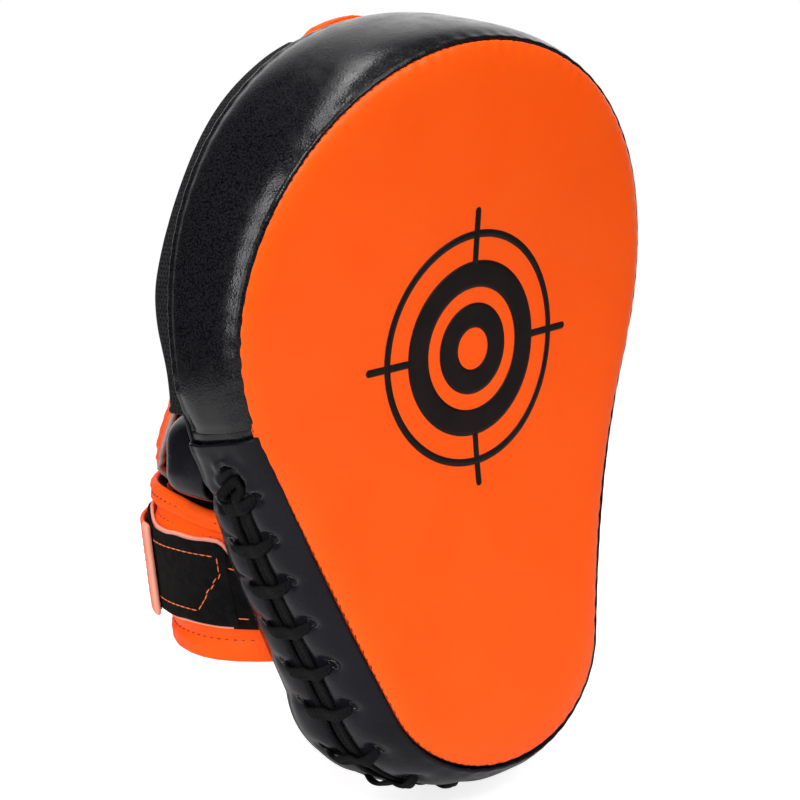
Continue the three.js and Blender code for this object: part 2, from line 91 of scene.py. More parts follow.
LACE = SimpleNamespace(start=3.1, pitch=16.6, front=0.26, rear=0.745, skew=4.2, sag=2.8, centre=0.51,
                       flat_over=32.0)
EYE = SimpleNamespace(height=8.4, t=0.445, radius=4.6, rim=6.3, depth=2.8)
TARGET = SimpleNamespace(height=34.5, dot=7.2, ring_in=15.65, ring_a=21.0, ring_b=30.0, thin_a=37.8,
                         thin_b=40.3, arm_a=29.0, arm_b=48.0, arm_width=2.5, raise_=0.16, thick=0.3)
SKIN = 1.4
TAU = 2 * math.pi
WELD = 2e-6


# ---- small helpers
def mix(a, b, t):
    return a + (b - a) * t


def smooth(t):
    c = np.clip(t, 0.0, 1.0)
    return c * c * (3 - 2 * c)


def bell(x, width):
    return np.exp(-((x / width) ** 2))


def unit(v):
    return v / np.maximum(np.linalg.norm(v, axis=-1, keepdims=True), 1e-12)


def stack(*parts):
    return np.stack(np.broadcast_arrays(*parts), axis=-1).astype(float)


def unevenness(points, size, seed=0.0):
    """Smooth noise from -1 to 1 over an array of points; size is its grain in mm."""
    flat = points.reshape(-1, 3) / size
    shift = Vector((seed, 1.7 * seed, -0.6 * seed))
    values = [noise.noise(Vector(p) + shift) for p in flat]
    return np.array(values).reshape(points.shape[:-1])
def pucker(run, pitch, drift, over):
    """Small waves along a seam, from -1 to 1, at a pitch that drifts."""
    return np.sin(run * TAU / pitch + drift * np.sin(run / over))


def full_turn(count):
    return np.linspace(0, TAU, count, endpoint=False)


def signed_power(v, power):
    return np.sign(v) * np.abs(v) ** power


def nearest(values, wanted):
    return int(np.argmin(np.abs(values - wanted)))
# ---- the striking face's outline
def half_outline(steps=500):
    """Down the right side of the face, from its top centre to its bottom centre."""
    up = np.linspace(math.pi / 2, WAIST.start, steps)[:, None]
    low = np.linspace(WAIST.end, -math.pi / 2, steps)[:, None]
    upper = np.hstack([TOP.width * np.cos(up), TOP.middle + TOP.height * np.sin(up)])
    lower = np.hstack([LOW.width * np.cos(low), LOW.middle + LOW.height * np.sin(low)])
    p0, p3 = upper[-1], lower[0]
    third = (p0[1] - p3[1]) / 3
    p1 = p0 + np.array([-WAIST.upper * third, -third])
    p2 = p3 + np.array([WAIST.lower * third, third])
    t = np.linspace(0, 1, steps)[:, None]
    curve = (1 - t) ** 3 * p0 + 3 * (1 - t) ** 2 * t * p1 + 3 * (1 - t) * t * t * p2 + t ** 3 * p3
    return np.vstack([upper, curve[1:], lower[1:]])


HALF = half_outline()
HALF_RUN = np.concatenate([[0], np.cumsum(np.linalg.norm(np.diff(HALF, axis=0), axis=1))])
HALF_LENGTH = HALF_RUN[-1]
HALF_TURN = unit(np.gradient(HALF, axis=0))


def edge(a):
    """x, z and the outward direction at a place on the outline: a is 0 at the top centre, 1 or -1 at
    the bottom centre, and positive on the right."""
    run = np.clip(np.abs(a), 0, 1) * HALF_LENGTH
    side = np.where(np.asarray(a) < 0, -1.0, 1.0)
    x = np.interp(run, HALF_RUN, HALF[:, 0])
    z = np.interp(run, HALF_RUN, HALF[:, 1])
    nx = -np.interp(run, HALF_RUN, HALF_TURN[:, 1])
    nz = np.interp(run, HALF_RUN, HALF_TURN[:, 0])
    return side * x, z, side * nx, nz


def share_at(z):
    return np.interp(-z, -HALF[:, 1], HALF_RUN) / HALF_LENGTH


def face_y(x, z):
    return FACE.y - z * z / (2 * FACE.dish) + FACE.flare * z ** 4 + FACE.crown * x * x


def back_y(z):
    t = (JOINT.bottom - z) / (JOINT.bottom - BACK.low_from)
    return mix(BACK.upper, BACK.lower, smooth(t))


def wall(a, t, out=0.0, push=0.0):
    """A point on the pad's side, t from 0 at the face to 1 at the back, moved out by out."""
    x, z, nx, nz = edge(a)
    up, down = np.maximum(nz, 0), np.maximum(-nz, 0)
    lean = (WALL.up * up ** 2 + WALL.down * down ** 1.5) * t
    low = smooth((JOINT.top - z) / 50)
    body = 1 - np.abs(2 * np.clip(t, 0, 1) - 1) ** WALL.roll
    shift = lean + (WALL.bulge + up + WALL.low * low) * body + out
    px, pz = x + nx * shift, z + nz * shift
    return stack(px, mix(face_y(px, pz), back_y(pz), t) + push, pz)


def wall_depth(a):
    x, z, _, _ = edge(a)
    return back_y(z) - face_y(x, z)


# ---- mesh builders
def make_mesh(name, points, faces, finish, uv):
    """A mesh object in metres from points in mm. uv is one pair per point, in mm."""
    mesh = bpy.data.meshes.new(name)
    mesh.from_pydata((points * MM).tolist(), [], [list(f) for f in faces])
    layer = mesh.uv_layers.new(name="surface")
    corner = np.empty(len(mesh.loops), dtype=np.int32)
    mesh.loops.foreach_get("vertex_index", corner)
    layer.data.foreach_set("uv", uv[corner].astype(np.float32).ravel())
    work = bmesh.new()
    work.from_mesh(mesh)
    bmesh.ops.remove_doubles(work, verts=work.verts, dist=WELD)
    bmesh.ops.recalc_face_normals(work, faces=work.faces)
    work.to_mesh(mesh)
    work.free()
    mesh.polygons.foreach_set("use_smooth", np.ones(len(mesh.polygons), dtype=bool))
    mesh.materials.append(finish)
    piece = bpy.data.objects.new(name, mesh)
    bpy.context.scene.collection.objects.link(piece)
    return piece


def grid_faces(rows, columns, wrap_rows, wrap_columns):
    j = np.arange(rows if wrap_rows else rows - 1)
    i = np.arange(columns if wrap_columns else columns - 1)
    jj, ii = np.meshgrid(j, i, indexing="ij")
    j2, i2 = (jj + 1) % rows, (ii + 1) % columns
    quads = np.stack([jj * columns + ii, jj * columns + i2, j2 * columns + i2, j2 * columns + ii], -1)
    return quads.reshape(-1, 4).tolist()
def tube_faces(rows, around):
    """The faces of a tube of rings, closed at both ends."""
    last = (rows - 1) * around
    ends = [list(range(around))[::-1], list(range(last, last + around))]
    return grid_faces(rows, around, False, True) + ends

def grid_normals(grid, inside, closed=False):
    du = np.roll(grid, -1, 1) - np.roll(grid, 1, 1)
    if not closed:
        du[:, 0], du[:, -1] = grid[:, 1] - grid[:, 0], grid[:, -1] - grid[:, -2]
    dv = np.empty_like(grid)
    dv[1:-1] = grid[2:] - grid[:-2]
    dv[0], dv[-1] = grid[1] - grid[0], grid[-1] - grid[-2]
    n = unit(np.cross(du, dv))
    return n * np.sign(np.sum((grid - np.asarray(inside, float)) * n))


def grid_run(grid, axis):
    step = np.linalg.norm(np.diff(grid, axis=axis), axis=-1)
    zero = np.zeros_like(np.take(step, [0], axis=axis))
    return np.concatenate([zero, np.cumsum(step, axis=axis)], axis=axis)


def shell(name, grid, thick, inside, finish, closed=False, rim=3):
    """A skin under a grid of points, with rounded edges. thick is in mm, one value or one per point."""
    n = grid_normals(grid, inside, closed)
    full = np.broadcast_to(np.asarray(thick, float), grid.shape[:2])[..., None]
    r = full / 2
    angles = [math.pi * k / (rim + 1) for k in range(1, rim + 1)]
    high, low = unit(grid[-1] - grid[-2]) * r[-1], unit(grid[0] - grid[1]) * r[0]
    far, near = n[-1] * r[-1], n[0] * r[0]
    end = [grid[-1] + high * math.sin(a) - far * (1 - math.cos(a)) for a in angles]
    start = [grid[0] + low * math.sin(a) - near * (1 - math.cos(a)) for a in angles[::-1]]
    loop = np.concatenate([grid, end, (grid - n * full)[::-1], start])
    middle_end = [grid[-1] + high * math.sin(a) - far for a in angles]
    middle_start = [grid[0] + low * math.sin(a) - near for a in angles[::-1]]
    flat = grid - n * r
    middle = np.concatenate([flat, middle_end, flat[::-1], middle_start])
    radius, u, v = [np.concatenate([w, w[-1:].repeat(rim, 0), w[::-1], w[:1].repeat(rim, 0)])
                    for w in (r, grid_run(grid, 1), grid_run(grid, 0))]
    if not closed:
        bends = [math.pi / 2 * k / (rim + 1) for k in range(1, rim + 2)]
        caps = []
        for column, towards in ((0, 1), (-1, -2)):
            out = unit(middle[:, column] - middle[:, towards]) * radius[:, column]
            reach = loop[:, column] - middle[:, column]
            caps.append([middle[:, column] + reach * math.cos(b) + out * math.sin(b) for b in bends])
        loop = np.concatenate([np.stack(caps[0][::-1], 1), loop, np.stack(caps[1], 1)], axis=1)
        u, v = [np.pad(w, ((0, 0), (rim + 1, rim + 1)), mode="edge") for w in (u, v)]
    faces = grid_faces(*loop.shape[:2], True, closed)
    return make_mesh(name, loop.reshape(-1, 3), faces, finish, np.stack([u, v], -1).reshape(-1, 2))


def superellipse(around, power):
    angle = full_turn(around)
    return np.stack([signed_power(np.cos(angle), 2 / power), signed_power(np.sin(angle), 2 / power)], -1)


def sweep_parts(path, up, width, height, around=12, power=2.6, ends=3):
    """Points and faces of a closed flat cord along a path. width and height may vary along it."""
    path, up = np.asarray(path, float), unit(np.asarray(up, float))
    width = np.broadcast_to(width, len(path)).astype(float)
    height = np.broadcast_to(height, len(path)).astype(float)
    along = unit(np.gradient(path, axis=0))
    side = unit(np.cross(along, up))
    top = np.cross(side, along)
    section = superellipse(around, power)
    half = np.minimum(width, height) / 2
    rings, run = [], grid_run(path[:, None], 0)[:, 0]
    bends = np.linspace(math.pi / 2, 0, ends, endpoint=False)
    spots = [(0, -1, bend) for bend in bends]
    spots += [(k, 0, 0.0) for k in range(len(path))]
    spots += [(len(path) - 1, 1, bend) for bend in bends[::-1]]
    for k, way, bend in spots:
        centre = path[k] + along[k] * way * half[k] * math.sin(bend)
        shrink = max(math.cos(bend), 0.02)
        ring = centre + side[k] * section[:, :1] * width[k] / 2 * shrink
        rings.append(ring + top[k] * section[:, 1:] * height[k] / 2 * shrink)
    u = np.repeat([run[k] for k, _, _ in spots], around)
    widths = np.repeat([width[k] * 2 for k, _, _ in spots], around)
    v = np.tile(np.linspace(0, 1, around), len(rings)) * widths
    return np.concatenate(rings), tube_faces(len(rings), around), np.stack([u, v], -1)


def joined(name, parts, finish):
    """One object from several (points, faces, uv) parts."""
    points, faces, uvs, base = [], [], [], 0
    for p, f, uv in parts:
        points.append(p)
        faces += [[base + i for i in face] for face in f]
        uvs.append(uv)
        base += len(p)
    return make_mesh(name, np.concatenate(points), faces, finish, np.concatenate(uvs))


def resample(path, *others, pitch):
    """The path and what goes with it, at even steps of about pitch."""
    path = np.asarray(path, float)
    run = grid_run(path[:, None], 0)[:, 0]
    count = max(int(round(run[-1] / pitch)), 2)
    at = (np.arange(count) + 0.5) * run[-1] / count
    pick = lambda values: np.stack([np.interp(at, run, values[:, k]) for k in range(values.shape[1])], -1)
    return [pick(path)] + [pick(np.asarray(o, float)) for o in others]


def stitch_parts(path, up, pitch=3.2, length=2.2, thick=0.55, slant=0.0, sink=0.1):
    """Short thread beads along a path; slant turns each a little out of the seam's line."""
    spots, ups = resample(path, up, pitch=pitch)
    along = unit(np.gradient(spots, axis=0))
    ups = unit(ups)
    side = unit(np.cross(along, ups))
    across, rows = 6, 5
    bead = []
    for f in np.linspace(0, 1, rows):
        half = thick / 2 * math.sin(math.pi * mix(0.06, 0.94, f)) ** 0.5
        sag = 0.25 * thick * (2 * f - 1) ** 2
        for angle in full_turn(across):
            bead.append([length * (f - 0.5), half * math.cos(angle), half * math.sin(angle) - sag])
    bead = np.array(bead)
    faces = tube_faces(rows, across)
    parts = []
    for p, t, n, b in zip(spots, along, ups, side):
        turned = t * math.cos(slant) + b * math.sin(slant)
        beside = np.cross(turned, n)
        points = p - n * sink + bead[:, :1] * turned + bead[:, 1:2] * beside + bead[:, 2:] * n
        parts.append((points, faces, bead[:, :2]))
    return parts


# ---- materials
class Nodes:
    """A short way to build a tree of shader nodes. In names, _ stands for a space."""

    def __init__(self, tree):
        self.tree = tree

    def feed(self, socket, value):
        """Link an input to another node's output, or give it a plain value."""
        if isinstance(value, bpy.types.NodeSocket):
            self.tree.links.new(value, socket)
        else:
            socket.default_value = value

    def node(self, kind, **values):
        """A node with its settings and inputs by name."""
        made = self.tree.nodes.new(kind)
        for key, value in values.items():
            if hasattr(made, key):
                setattr(made, key, value)
            else:
                self.feed(made.inputs[key.replace("_", " ")], value)
        return made

    def math(self, operation, *values):
        made = self.node("ShaderNodeMath", operation=operation)
        for socket, value in zip(made.inputs, values):
            self.feed(socket, value)
        return made.outputs[0]

    def spread(self, value, low, high, to_low=0.0, to_high=1.0, curve="LINEAR"):
        made = self.node("ShaderNodeMapRange", interpolation_type=curve, Value=value,
                         From_Min=low, From_Max=high, To_Min=to_low, To_Max=to_high)
        return made.outputs["Result"]


class Finish(Nodes):
    """A material: the nodes round its one shader."""

    def __init__(self, name, colour, roughness, specular):
        self.material = bpy.data.materials.new(name)
        self.material.use_nodes = True
        self.material.diffuse_color = (*colour, 1.0)
        super().__init__(self.material.node_tree)
        self.shader = self.tree.nodes["Principled BSDF"]
        self.set(Base_Color=(*colour, 1.0), Roughness=roughness, Specular_IOR_Level=specular)

    def set(self, **values):
        """Feed the shader's inputs by name."""
        for key, value in values.items():
            self.feed(self.shader.inputs[key.replace("_", " ")], value)

    def place(self, scale=(1, 1, 1), uv=False):
        """Object coordinates in metres, or the surface's own in mm, scaled."""
        if uv:
            source = self.node("ShaderNodeUVMap", uv_map="surface").outputs["UV"]
        else:
            source = self.node("ShaderNodeTexCoord").outputs["Object"]
        return self.node("ShaderNodeMapping", Vector=source, Scale=scale).outputs["Vector"]

    def split(self, where):
        made = self.node("ShaderNodeSeparateXYZ", Vector=where)
        return made.outputs["X"], made.outputs["Y"]

    def noise(self, where, scale, detail=2.0, roughness=0.5):
        made = self.node("ShaderNodeTexNoise", Vector=where, Scale=scale, Detail=detail,
                         Roughness=roughness)
        return made.outputs["Fac"]

    def cells(self, where, scale, smoothness=None):
        """Distance from the nearest cell's middle; smoothness rounds what lies between the cells."""
        made = self.node("ShaderNodeTexVoronoi", Vector=where, Scale=scale)
        if smoothness is not None:
            made.feature = "SMOOTH_F1"
            made.inputs["Smoothness"].default_value = smoothness
        return made.outputs["Distance"]

    def colours(self, factor, first, second):
        """Between two colours, each three numbers or another node's output."""
        made = self.node("ShaderNodeMix", data_type="RGBA")
        for socket, value in ((0, factor), (6, first), (7, second)):
            self.feed(made.inputs[socket], (*value, 1.0) if isinstance(value, tuple) else value)
        return made.outputs[2]

    def paint(self, factor, first, second):
        self.set(Base_Color=self.colours(factor, first, second))

    def bump(self, height, strength, distance, **more):
        made = self.node("ShaderNodeBump", Height=height, Strength=strength, Distance=distance, **more)
        self.set(Normal=made.outputs["Normal"])
        return made.outputs["Normal"]


def coated_leather(name, dark, light, roughness, grain, strength, specular, cell=1500.0, painted_glint=0.0):
    """Synthetic leather: tiny pressed cells, a soft unevenness, slightly patchy gloss and, where asked,
    painted glints on the cells.
    """
    m = Finish(name, dark, roughness, specular)
    where = m.place()
    pressed = m.cells(where, cell, 0.5)
    shade = m.spread(m.noise(where, 38.0, 3.0), 0.3, 0.7, 0.0, 1.0 - painted_glint)
    # This lightens the middles of the pressed cells: painted glints on the grain, in place of highlights.
    if painted_glint:
        shade = m.math("ADD", shade, m.spread(pressed, 0.2, 0.7, painted_glint, 0.0))
    m.paint(shade, dark, light)
    m.set(Roughness=m.spread(m.noise(where, 160.0), 0.3, 0.7, roughness - 0.05, roughness + 0.06))
    soft = m.bump(m.noise(where, 110.0), 0.07, 0.0008)
    fine = m.math("MULTIPLY", m.noise(where, cell * 1.3), 0.35)
    m.bump(m.math("ADD", pressed, fine), strength, grain, Normal=soft)
    return m.material


def printed_ink():
    m = Finish("target_ink", (0.013, 0.008, 0.007), 0.5, 0.14)
    where = m.place()
    cloud = m.spread(m.noise(where, 90.0, 3.0), 0.35, 0.65)
    m.paint(cloud, (0.006, 0.0035, 0.0035), (0.010, 0.006, 0.005))
    m.bump(m.cells(where, 1500.0, 0.4), 0.25, 0.00008)
    return m.material


def woven(name, dark, light, pitch, strength, distance, roughness):
    """Plain weave on the surface's own coordinates; pitch is the yarns' spacing in mm."""
    m = Finish(name, dark, roughness, 0.12)
    turn = math.pi / pitch
    x, y = m.split(m.place((turn, turn, turn), uv=True))
    weave = m.math("MULTIPLY", m.math("SINE", x), m.math("SINE", y))
    cloud = m.noise(m.place(), 300.0, 3.0)
    rib = m.math("MULTIPLY", m.math("ABSOLUTE", weave), m.spread(cloud, 0.3, 0.7, 0.4, 1.0))
    m.paint(rib, dark, light)
    m.bump(m.math("ADD", weave, m.math("MULTIPLY", cloud, 0.4)), strength, distance)
    return m.material


def spacer_mesh():
    """Thick sport mesh: a close knit with staggered round holes, painted near black: the dark lining behind
    them and painted shade in them.
    """
    dark = (0.006, 0.006, 0.007)
    m = Finish("sport_mesh", dark, 0.85, 0.1)
    x, y = m.split(m.place((1 / 2.1, 1 / 1.5, 1), uv=True))
    shift = m.math("MULTIPLY", m.math("MODULO", m.math("FLOOR", y), 2.0), 0.5)
    fx = m.math("SUBTRACT", m.math("FRACT", m.math("ADD", x, shift)), 0.5)
    fy = m.math("SUBTRACT", m.math("FRACT", y), 0.5)
    far = m.math("SQRT", m.math("ADD", m.math("MULTIPLY", fx, fx), m.math("MULTIPLY", fy, fy)))
    solid = m.spread(far, 0.2, 0.36)
    cloud = m.noise(m.place(), 900.0)
    knit = m.colours(m.spread(cloud, 0.35, 0.65), dark, (0.021, 0.021, 0.024))
    # Near black in the holes: painted shade where the holes sink, darker than the knit and the lining
    # behind.
    m.paint(solid, (0.001, 0.001, 0.001), knit)
    m.set(Sheen_Weight=0.01)
    m.bump(m.math("ADD", solid, m.math("MULTIPLY", cloud, 0.35)), 0.8, 0.0005)
    return m.material


def hook_and_loop(name, sheen):
    m = Finish(name, (0.004, 0.0035, 0.0035), 0.95, 0.08)
    where = m.place()
    fuzz = m.noise(where, 2600.0, 4.0, 0.7)
    clump = m.noise(where, 260.0, 3.0)
    pile = m.spread(m.math("MULTIPLY", fuzz, clump), 0.2, 0.5)
    m.paint(pile, (0.0012, 0.001, 0.001), (0.010, 0.008, 0.008))
    m.set(Sheen_Weight=sheen, Sheen_Roughness=0.4)
    m.bump(m.math("ADD", fuzz, clump), 0.9, 0.0006)
    return m.material


def thread(name, dark, light):
    m = Finish(name, dark, 0.55, 0.4)
    where = m.place()
    m.paint(m.noise(where, 1400.0), dark, light)
    m.bump(m.noise(where, 3000.0), 0.5, 0.0001)
    return m.material


def foam(name, dark, light):
    m = Finish(name, dark, 0.95, 0.2)
    pores = m.cells(m.place(), 900.0)
    m.paint(m.spread(pores, 0.0, 0.8), dark, light)
    m.bump(pores, 0.7, 0.0004)
    return m.material


ORANGE = coated_leather("orange_coated", (1.0, 0.094, 0.004), (1.0, 0.104, 0.006),
                        0.38, 0.00005, 0.25, 0.16, 1700.0)
ORANGE_SOFT = coated_leather("orange_padded", (1.0, 0.086, 0.005), (1.0, 0.102, 0.008),
                             0.46, 0.00009, 0.4, 0.07, 1300.0)
# The last value paints glints on the grain cells: painted highlights, not the leather's own colour.
GRAINED = coated_leather("black_grained", (0.0010, 0.0010, 0.0016), (0.014, 0.014, 0.017),
                         0.23, 0.00010, 0.42, 0.26, 1550.0, 0.85)
SMOOTH_BLACK = coated_leather("black_smooth", (0.0050, 0.0047, 0.0066), (0.0080, 0.0076, 0.0108),
                              0.24, 0.00005, 0.3, 0.13)
GLOSSY = coated_leather("black_glossy", (0.006, 0.006, 0.007), (0.010, 0.010, 0.012),
                        0.22, 0.00004, 0.2, 0.5)
# The pale grey here is a painted highlight along the hand cover's side edges, where the binding tape catches
# the light.
HIGHLIGHT_BINDING = coated_leather("binding_painted_highlight", (0.30, 0.24, 0.24), (0.42, 0.35, 0.35),
                         0.45, 0.00008, 0.4, 0.4)
INK = printed_ink()
LACE_WEAVE = woven("lace_weave", (0.0020, 0.0020, 0.0024), (0.0075, 0.0075, 0.0085), 0.7, 0.8, 0.0002, 0.8)
LINING = woven("lining_weave", (0.004, 0.004, 0.005), (0.012, 0.012, 0.014), 0.6, 0.6, 0.00015, 0.9)
SPORT_MESH = spacer_mesh()
LOOP = hook_and_loop("loop_pile", 0.03)
HOOKS = hook_and_loop("hook_pile", 0.02)
CUT_EDGE = coated_leather("cut_edge", (0.82, 0.27, 0.18), (0.88, 0.38, 0.28),
                          0.7, 0.00012, 0.6, 0.2, 2200.0)
ORANGE_THREAD = thread("orange_thread", (0.85, 0.12, 0.02), (1.0, 0.26, 0.08))
DARK_THREAD = thread("dark_thread", (0.006, 0.005, 0.005), (0.02, 0.016, 0.016))
RED_THREAD = thread("deep_orange_thread", (0.12, 0.012, 0.004), (0.26, 0.026, 0.008))
DENSE_FOAM = foam("dense_foam", (0.07, 0.075, 0.08), (0.11, 0.115, 0.12))
SOFT_FOAM = foam("soft_foam", (0.62, 0.56, 0.44), (0.78, 0.73, 0.62))


def belongs(piece, body, slot, *nodes):
    """What a finished piece rides on and the CAD nodes it stands for; slot is not used."""
    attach(piece, body)
    if nodes:
        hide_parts(*nodes)


def sew(name, seams, bead, finish, body, slot):
    """One piece of stitches along seams, each a path with its outward directions; bead is their make."""
    parts = []
    for path, up in seams:
        parts += stitch_parts(path, up, *bead)
    belongs(joined(name, parts, finish), body, slot)


# ---- striking face
PAD_INSIDE = (0, -55, FACE.middle)
EDGE_ROLL = SimpleNamespace(wide=9.0, drop=2.3)


def face_roll(d):
    """How far the face's skin turns back, at a distance d inside its seam."""
    inward = np.clip((EDGE_ROLL.wide - d) / EDGE_ROLL.wide, 0, 1)
    return EDGE_ROLL.drop * (1 - np.sqrt(np.maximum(1 - inward ** 2, 0)))


def full_loop(count):
    """Places round the whole outline, from the bottom up the left side and down the right one."""
    return np.linspace(-1, 1, count, endpoint=False)


def foam_softness(points):
    """How unevenly the foam holds up the face's skin at some points, in mm."""
    return unevenness(points, 42.0, 3.0) * 0.35 + unevenness(points, 17.0, 5.0) * 0.08


def filled(rings, count, height):
    """A grid from the pad's middle out to the first of its rings; height gives y inside the last."""
    inner = rings[-1]
    rows = list(rings)
    for q in np.linspace(1, 0, count)[1:]:
        x, z = inner[:, 0] * q, mix(FACE.middle, inner[:, 2], q)
        rows.append(stack(x, height(x, z), z))
    return np.stack(rows[::-1])


def face_grid():
    a = full_loop(560)
    x, z, nx, nz = edge(a)
    pull = 0.16 * np.sin(a * HALF_LENGTH * TAU / 6.4) * (1 + 0.5 * np.sin(a * 57))
    rings = []
    for d in (0, 0.25, 0.7, 1.4, 2.4, 3.8, 5.6, 7.6, 10, 13):
        px, pz = x - nx * d, z - nz * d
        rings.append(stack(px, face_y(px, pz) + face_roll(d) + pull * bell(d - 1.5, 2.5), pz))
    grid = filled(rings, 26, face_y)
    from_middle = np.arange(len(grid)) / len(grid)
    grid[..., 1] += foam_softness(grid) * smooth((from_middle - 0.02) * 4)[:, None]
    return grid


def build_face():
    piece = shell("face_skin", face_grid(), SKIN, PAD_INSIDE, ORANGE, closed=True)
    belongs(piece, "pad", "orange_leather", "face_panel")
    x, z, nx, nz = edge(full_loop(1200))
    inset = 0.05
    px, pz = x - nx * inset, z - nz * inset
    groove = stack(px, face_y(px, pz) + face_roll(inset), pz)
    seam = (groove, stack(nx * 0.92, -0.4, nz * 0.92))
    sew("face_seam_stitches", [seam], (3.0, 2.0, 0.5, 0.2, 0.15), DARK_THREAD, "pad", "black_lace")


def print_parts(flat_rows, closed):
    """A thin printed shape laid on the face, from rows of flat points, as points, faces and uv."""
    grid = []
    for row in flat_rows:
        x, z = row[:, 0], row[:, 1] + TARGET.height
        laid = stack(x, face_y(x, z), z)
        laid[:, 1] += foam_softness(laid) - TARGET.raise_
        grid.append(laid)
    grid = np.stack(grid)
    under = grid + np.array([0, TARGET.thick, 0])
    points = np.concatenate([grid, under[::-1]])
    rows, columns = points.shape[:2]
    faces = grid_faces(rows, columns, True, closed)
    if not closed:
        for column in (0, columns - 1):
            for j in range(rows // 2 - 1):
                a, b = j * columns + column, (j + 1) * columns + column
                c, d = (rows - 2 - j) * columns + column, (rows - 1 - j) * columns + column
                faces.append([a, b, c, d] if column == 0 else [a, d, c, b])
    points = points.reshape(-1, 3)
    return points, faces, points[:, ::2]


def build_target():
    angle = full_turn(160)
    way = np.stack([np.cos(angle), np.sin(angle)], -1)
    parts = []
    for inner, outer in ((TARGET.dot, TARGET.ring_in), (TARGET.ring_a, TARGET.ring_b),
                         (TARGET.thin_a, TARGET.thin_b)):
        steps = max(int((outer - inner) / 1.2), 2)
        parts.append(print_parts([way * r for r in np.linspace(inner, outer, steps + 1)], True))
    half = TARGET.arm_width / 2
    bends = np.linspace(0.3, math.pi / 2, 5)
    straight = np.linspace(TARGET.arm_a, TARGET.arm_b - half, 16)
    reach = np.concatenate([straight, TARGET.arm_b - half + half * np.sin(bends)])
    wide = np.concatenate([np.full(len(straight), half), half * np.cos(bends) + 0.02])
    for turn in np.arange(4) * math.pi / 2:
        c, s = math.cos(turn), math.sin(turn)
        rows = [np.stack([reach * c - wide * side * s, reach * s + wide * side * c], -1)
                for side in (-1, -0.5, 0, 0.5, 1)]
        parts.append(print_parts(rows, False))
    belongs(joined("target_print", parts, INK), "pad", "black_leather")


# ---- gusset round the pad's side
def upper_share(t):
    return share_at(JOINT.top - JOINT.fall * t)


def gusset_rows(first, last, count):
    """Depth shares that crowd near both edges."""
    k = np.linspace(0, 1, count)
    return first + (last - first) * (k - 0.13 * np.sin(TAU * k))


def seam_relief(depth_mm, from_rear):
    """A tucked edge and a small welt along the front and rear seams."""
    front = -1.4 * bell(depth_mm - 0.6, 1.2) + 0.15 * bell(depth_mm - 2.8, 1.0)
    front = front - 0.45 * (1 - smooth(depth_mm / 9.5))
    rear = -0.9 * bell(from_rear, 1.2) + 0.3 * bell(from_rear - 2.6, 1.2) - 0.3 * bell(from_rear - 5, 1.6)
    return front + rear


def build_upper_gusset():
    t = gusset_rows(0.045, 0.985, 46)[:, None]
    c = np.linspace(-1, 1, 520)[None, :]
    a = c * upper_share(t)
    depth = wall_depth(a)
    front, rear = t * depth, (1 - t) * depth
    out = seam_relief(front, rear)
    out += unevenness(wall(a, t), 30.0, 11.0) * 0.4 * np.sin(math.pi * t) ** 0.5
    pull = pucker(a * HALF_LENGTH, 7.3, 2.0, 23.0)
    out += pull * (0.08 * bell(front - 3.0, 3.0) + 0.09 * bell(rear - 3.0, 3.5))
    from_joint = (1 - np.abs(c)) * upper_share(t) * HALF_LENGTH
    out -= 1.7 * bell(from_joint - 3.0, 7.0) * bell(t - 0.92, 0.22) + 0.7 * bell(from_joint, 2.2)
    piece = shell("upper_gusset_skin", wall(a, t, out), SKIN, PAD_INSIDE, GRAINED)
    belongs(piece, "pad", "black_leather", "upper_gusset", "upper_gusset_padding")


def joint_band(side, word):
    """The recessed band between the two gussets, on one side."""
    t = gusset_rows(0.05, 0.97, 30)[:, None]
    k = np.linspace(-0.35, 1.35, 12)[None, :]
    a = side * mix(upper_share(t), share_at(JOINT.bottom - JOINT.fall * t), k)
    depth = wall_depth(a)
    out = 0.6 * seam_relief(t * depth, (1 - t) * depth) - 2.0 - 0.4 * np.abs(2 * k - 1) ** 4
    out += unevenness(wall(a, t), 6.0, 4.0) * 0.18
    piece = shell(f"joint_band_{word}", wall(a, t, out), 0.9, PAD_INSIDE, GRAINED)
    belongs(piece, "pad", "black_leather", f"gusset_joint_{word}")


# The lower strips share one loop: run is mm down the left side, on round the bottom and up the right.
LACE_START = float(share_at(LACE.start)) * HALF_LENGTH
LACE_END = 2 * HALF_LENGTH - LACE_START
WRAPS = int(round((LACE_END - LACE_START) / LACE.pitch)) + 1
WRAP_STEP = (LACE_END - LACE_START) / (WRAPS - 1)
EYE_RUN = float(share_at(EYE.height)) * HALF_LENGTH


def place_on_loop(run):
    share = np.asarray(run) / HALF_LENGTH
    return np.where(share <= 1, -share, 2 - share)


def across_bottom(start, share):
    """Runs from a start on the left side, at share 0, to its mirror on the right, at share 1."""
    return mix(start, 2 * HALF_LENGTH - start, share)


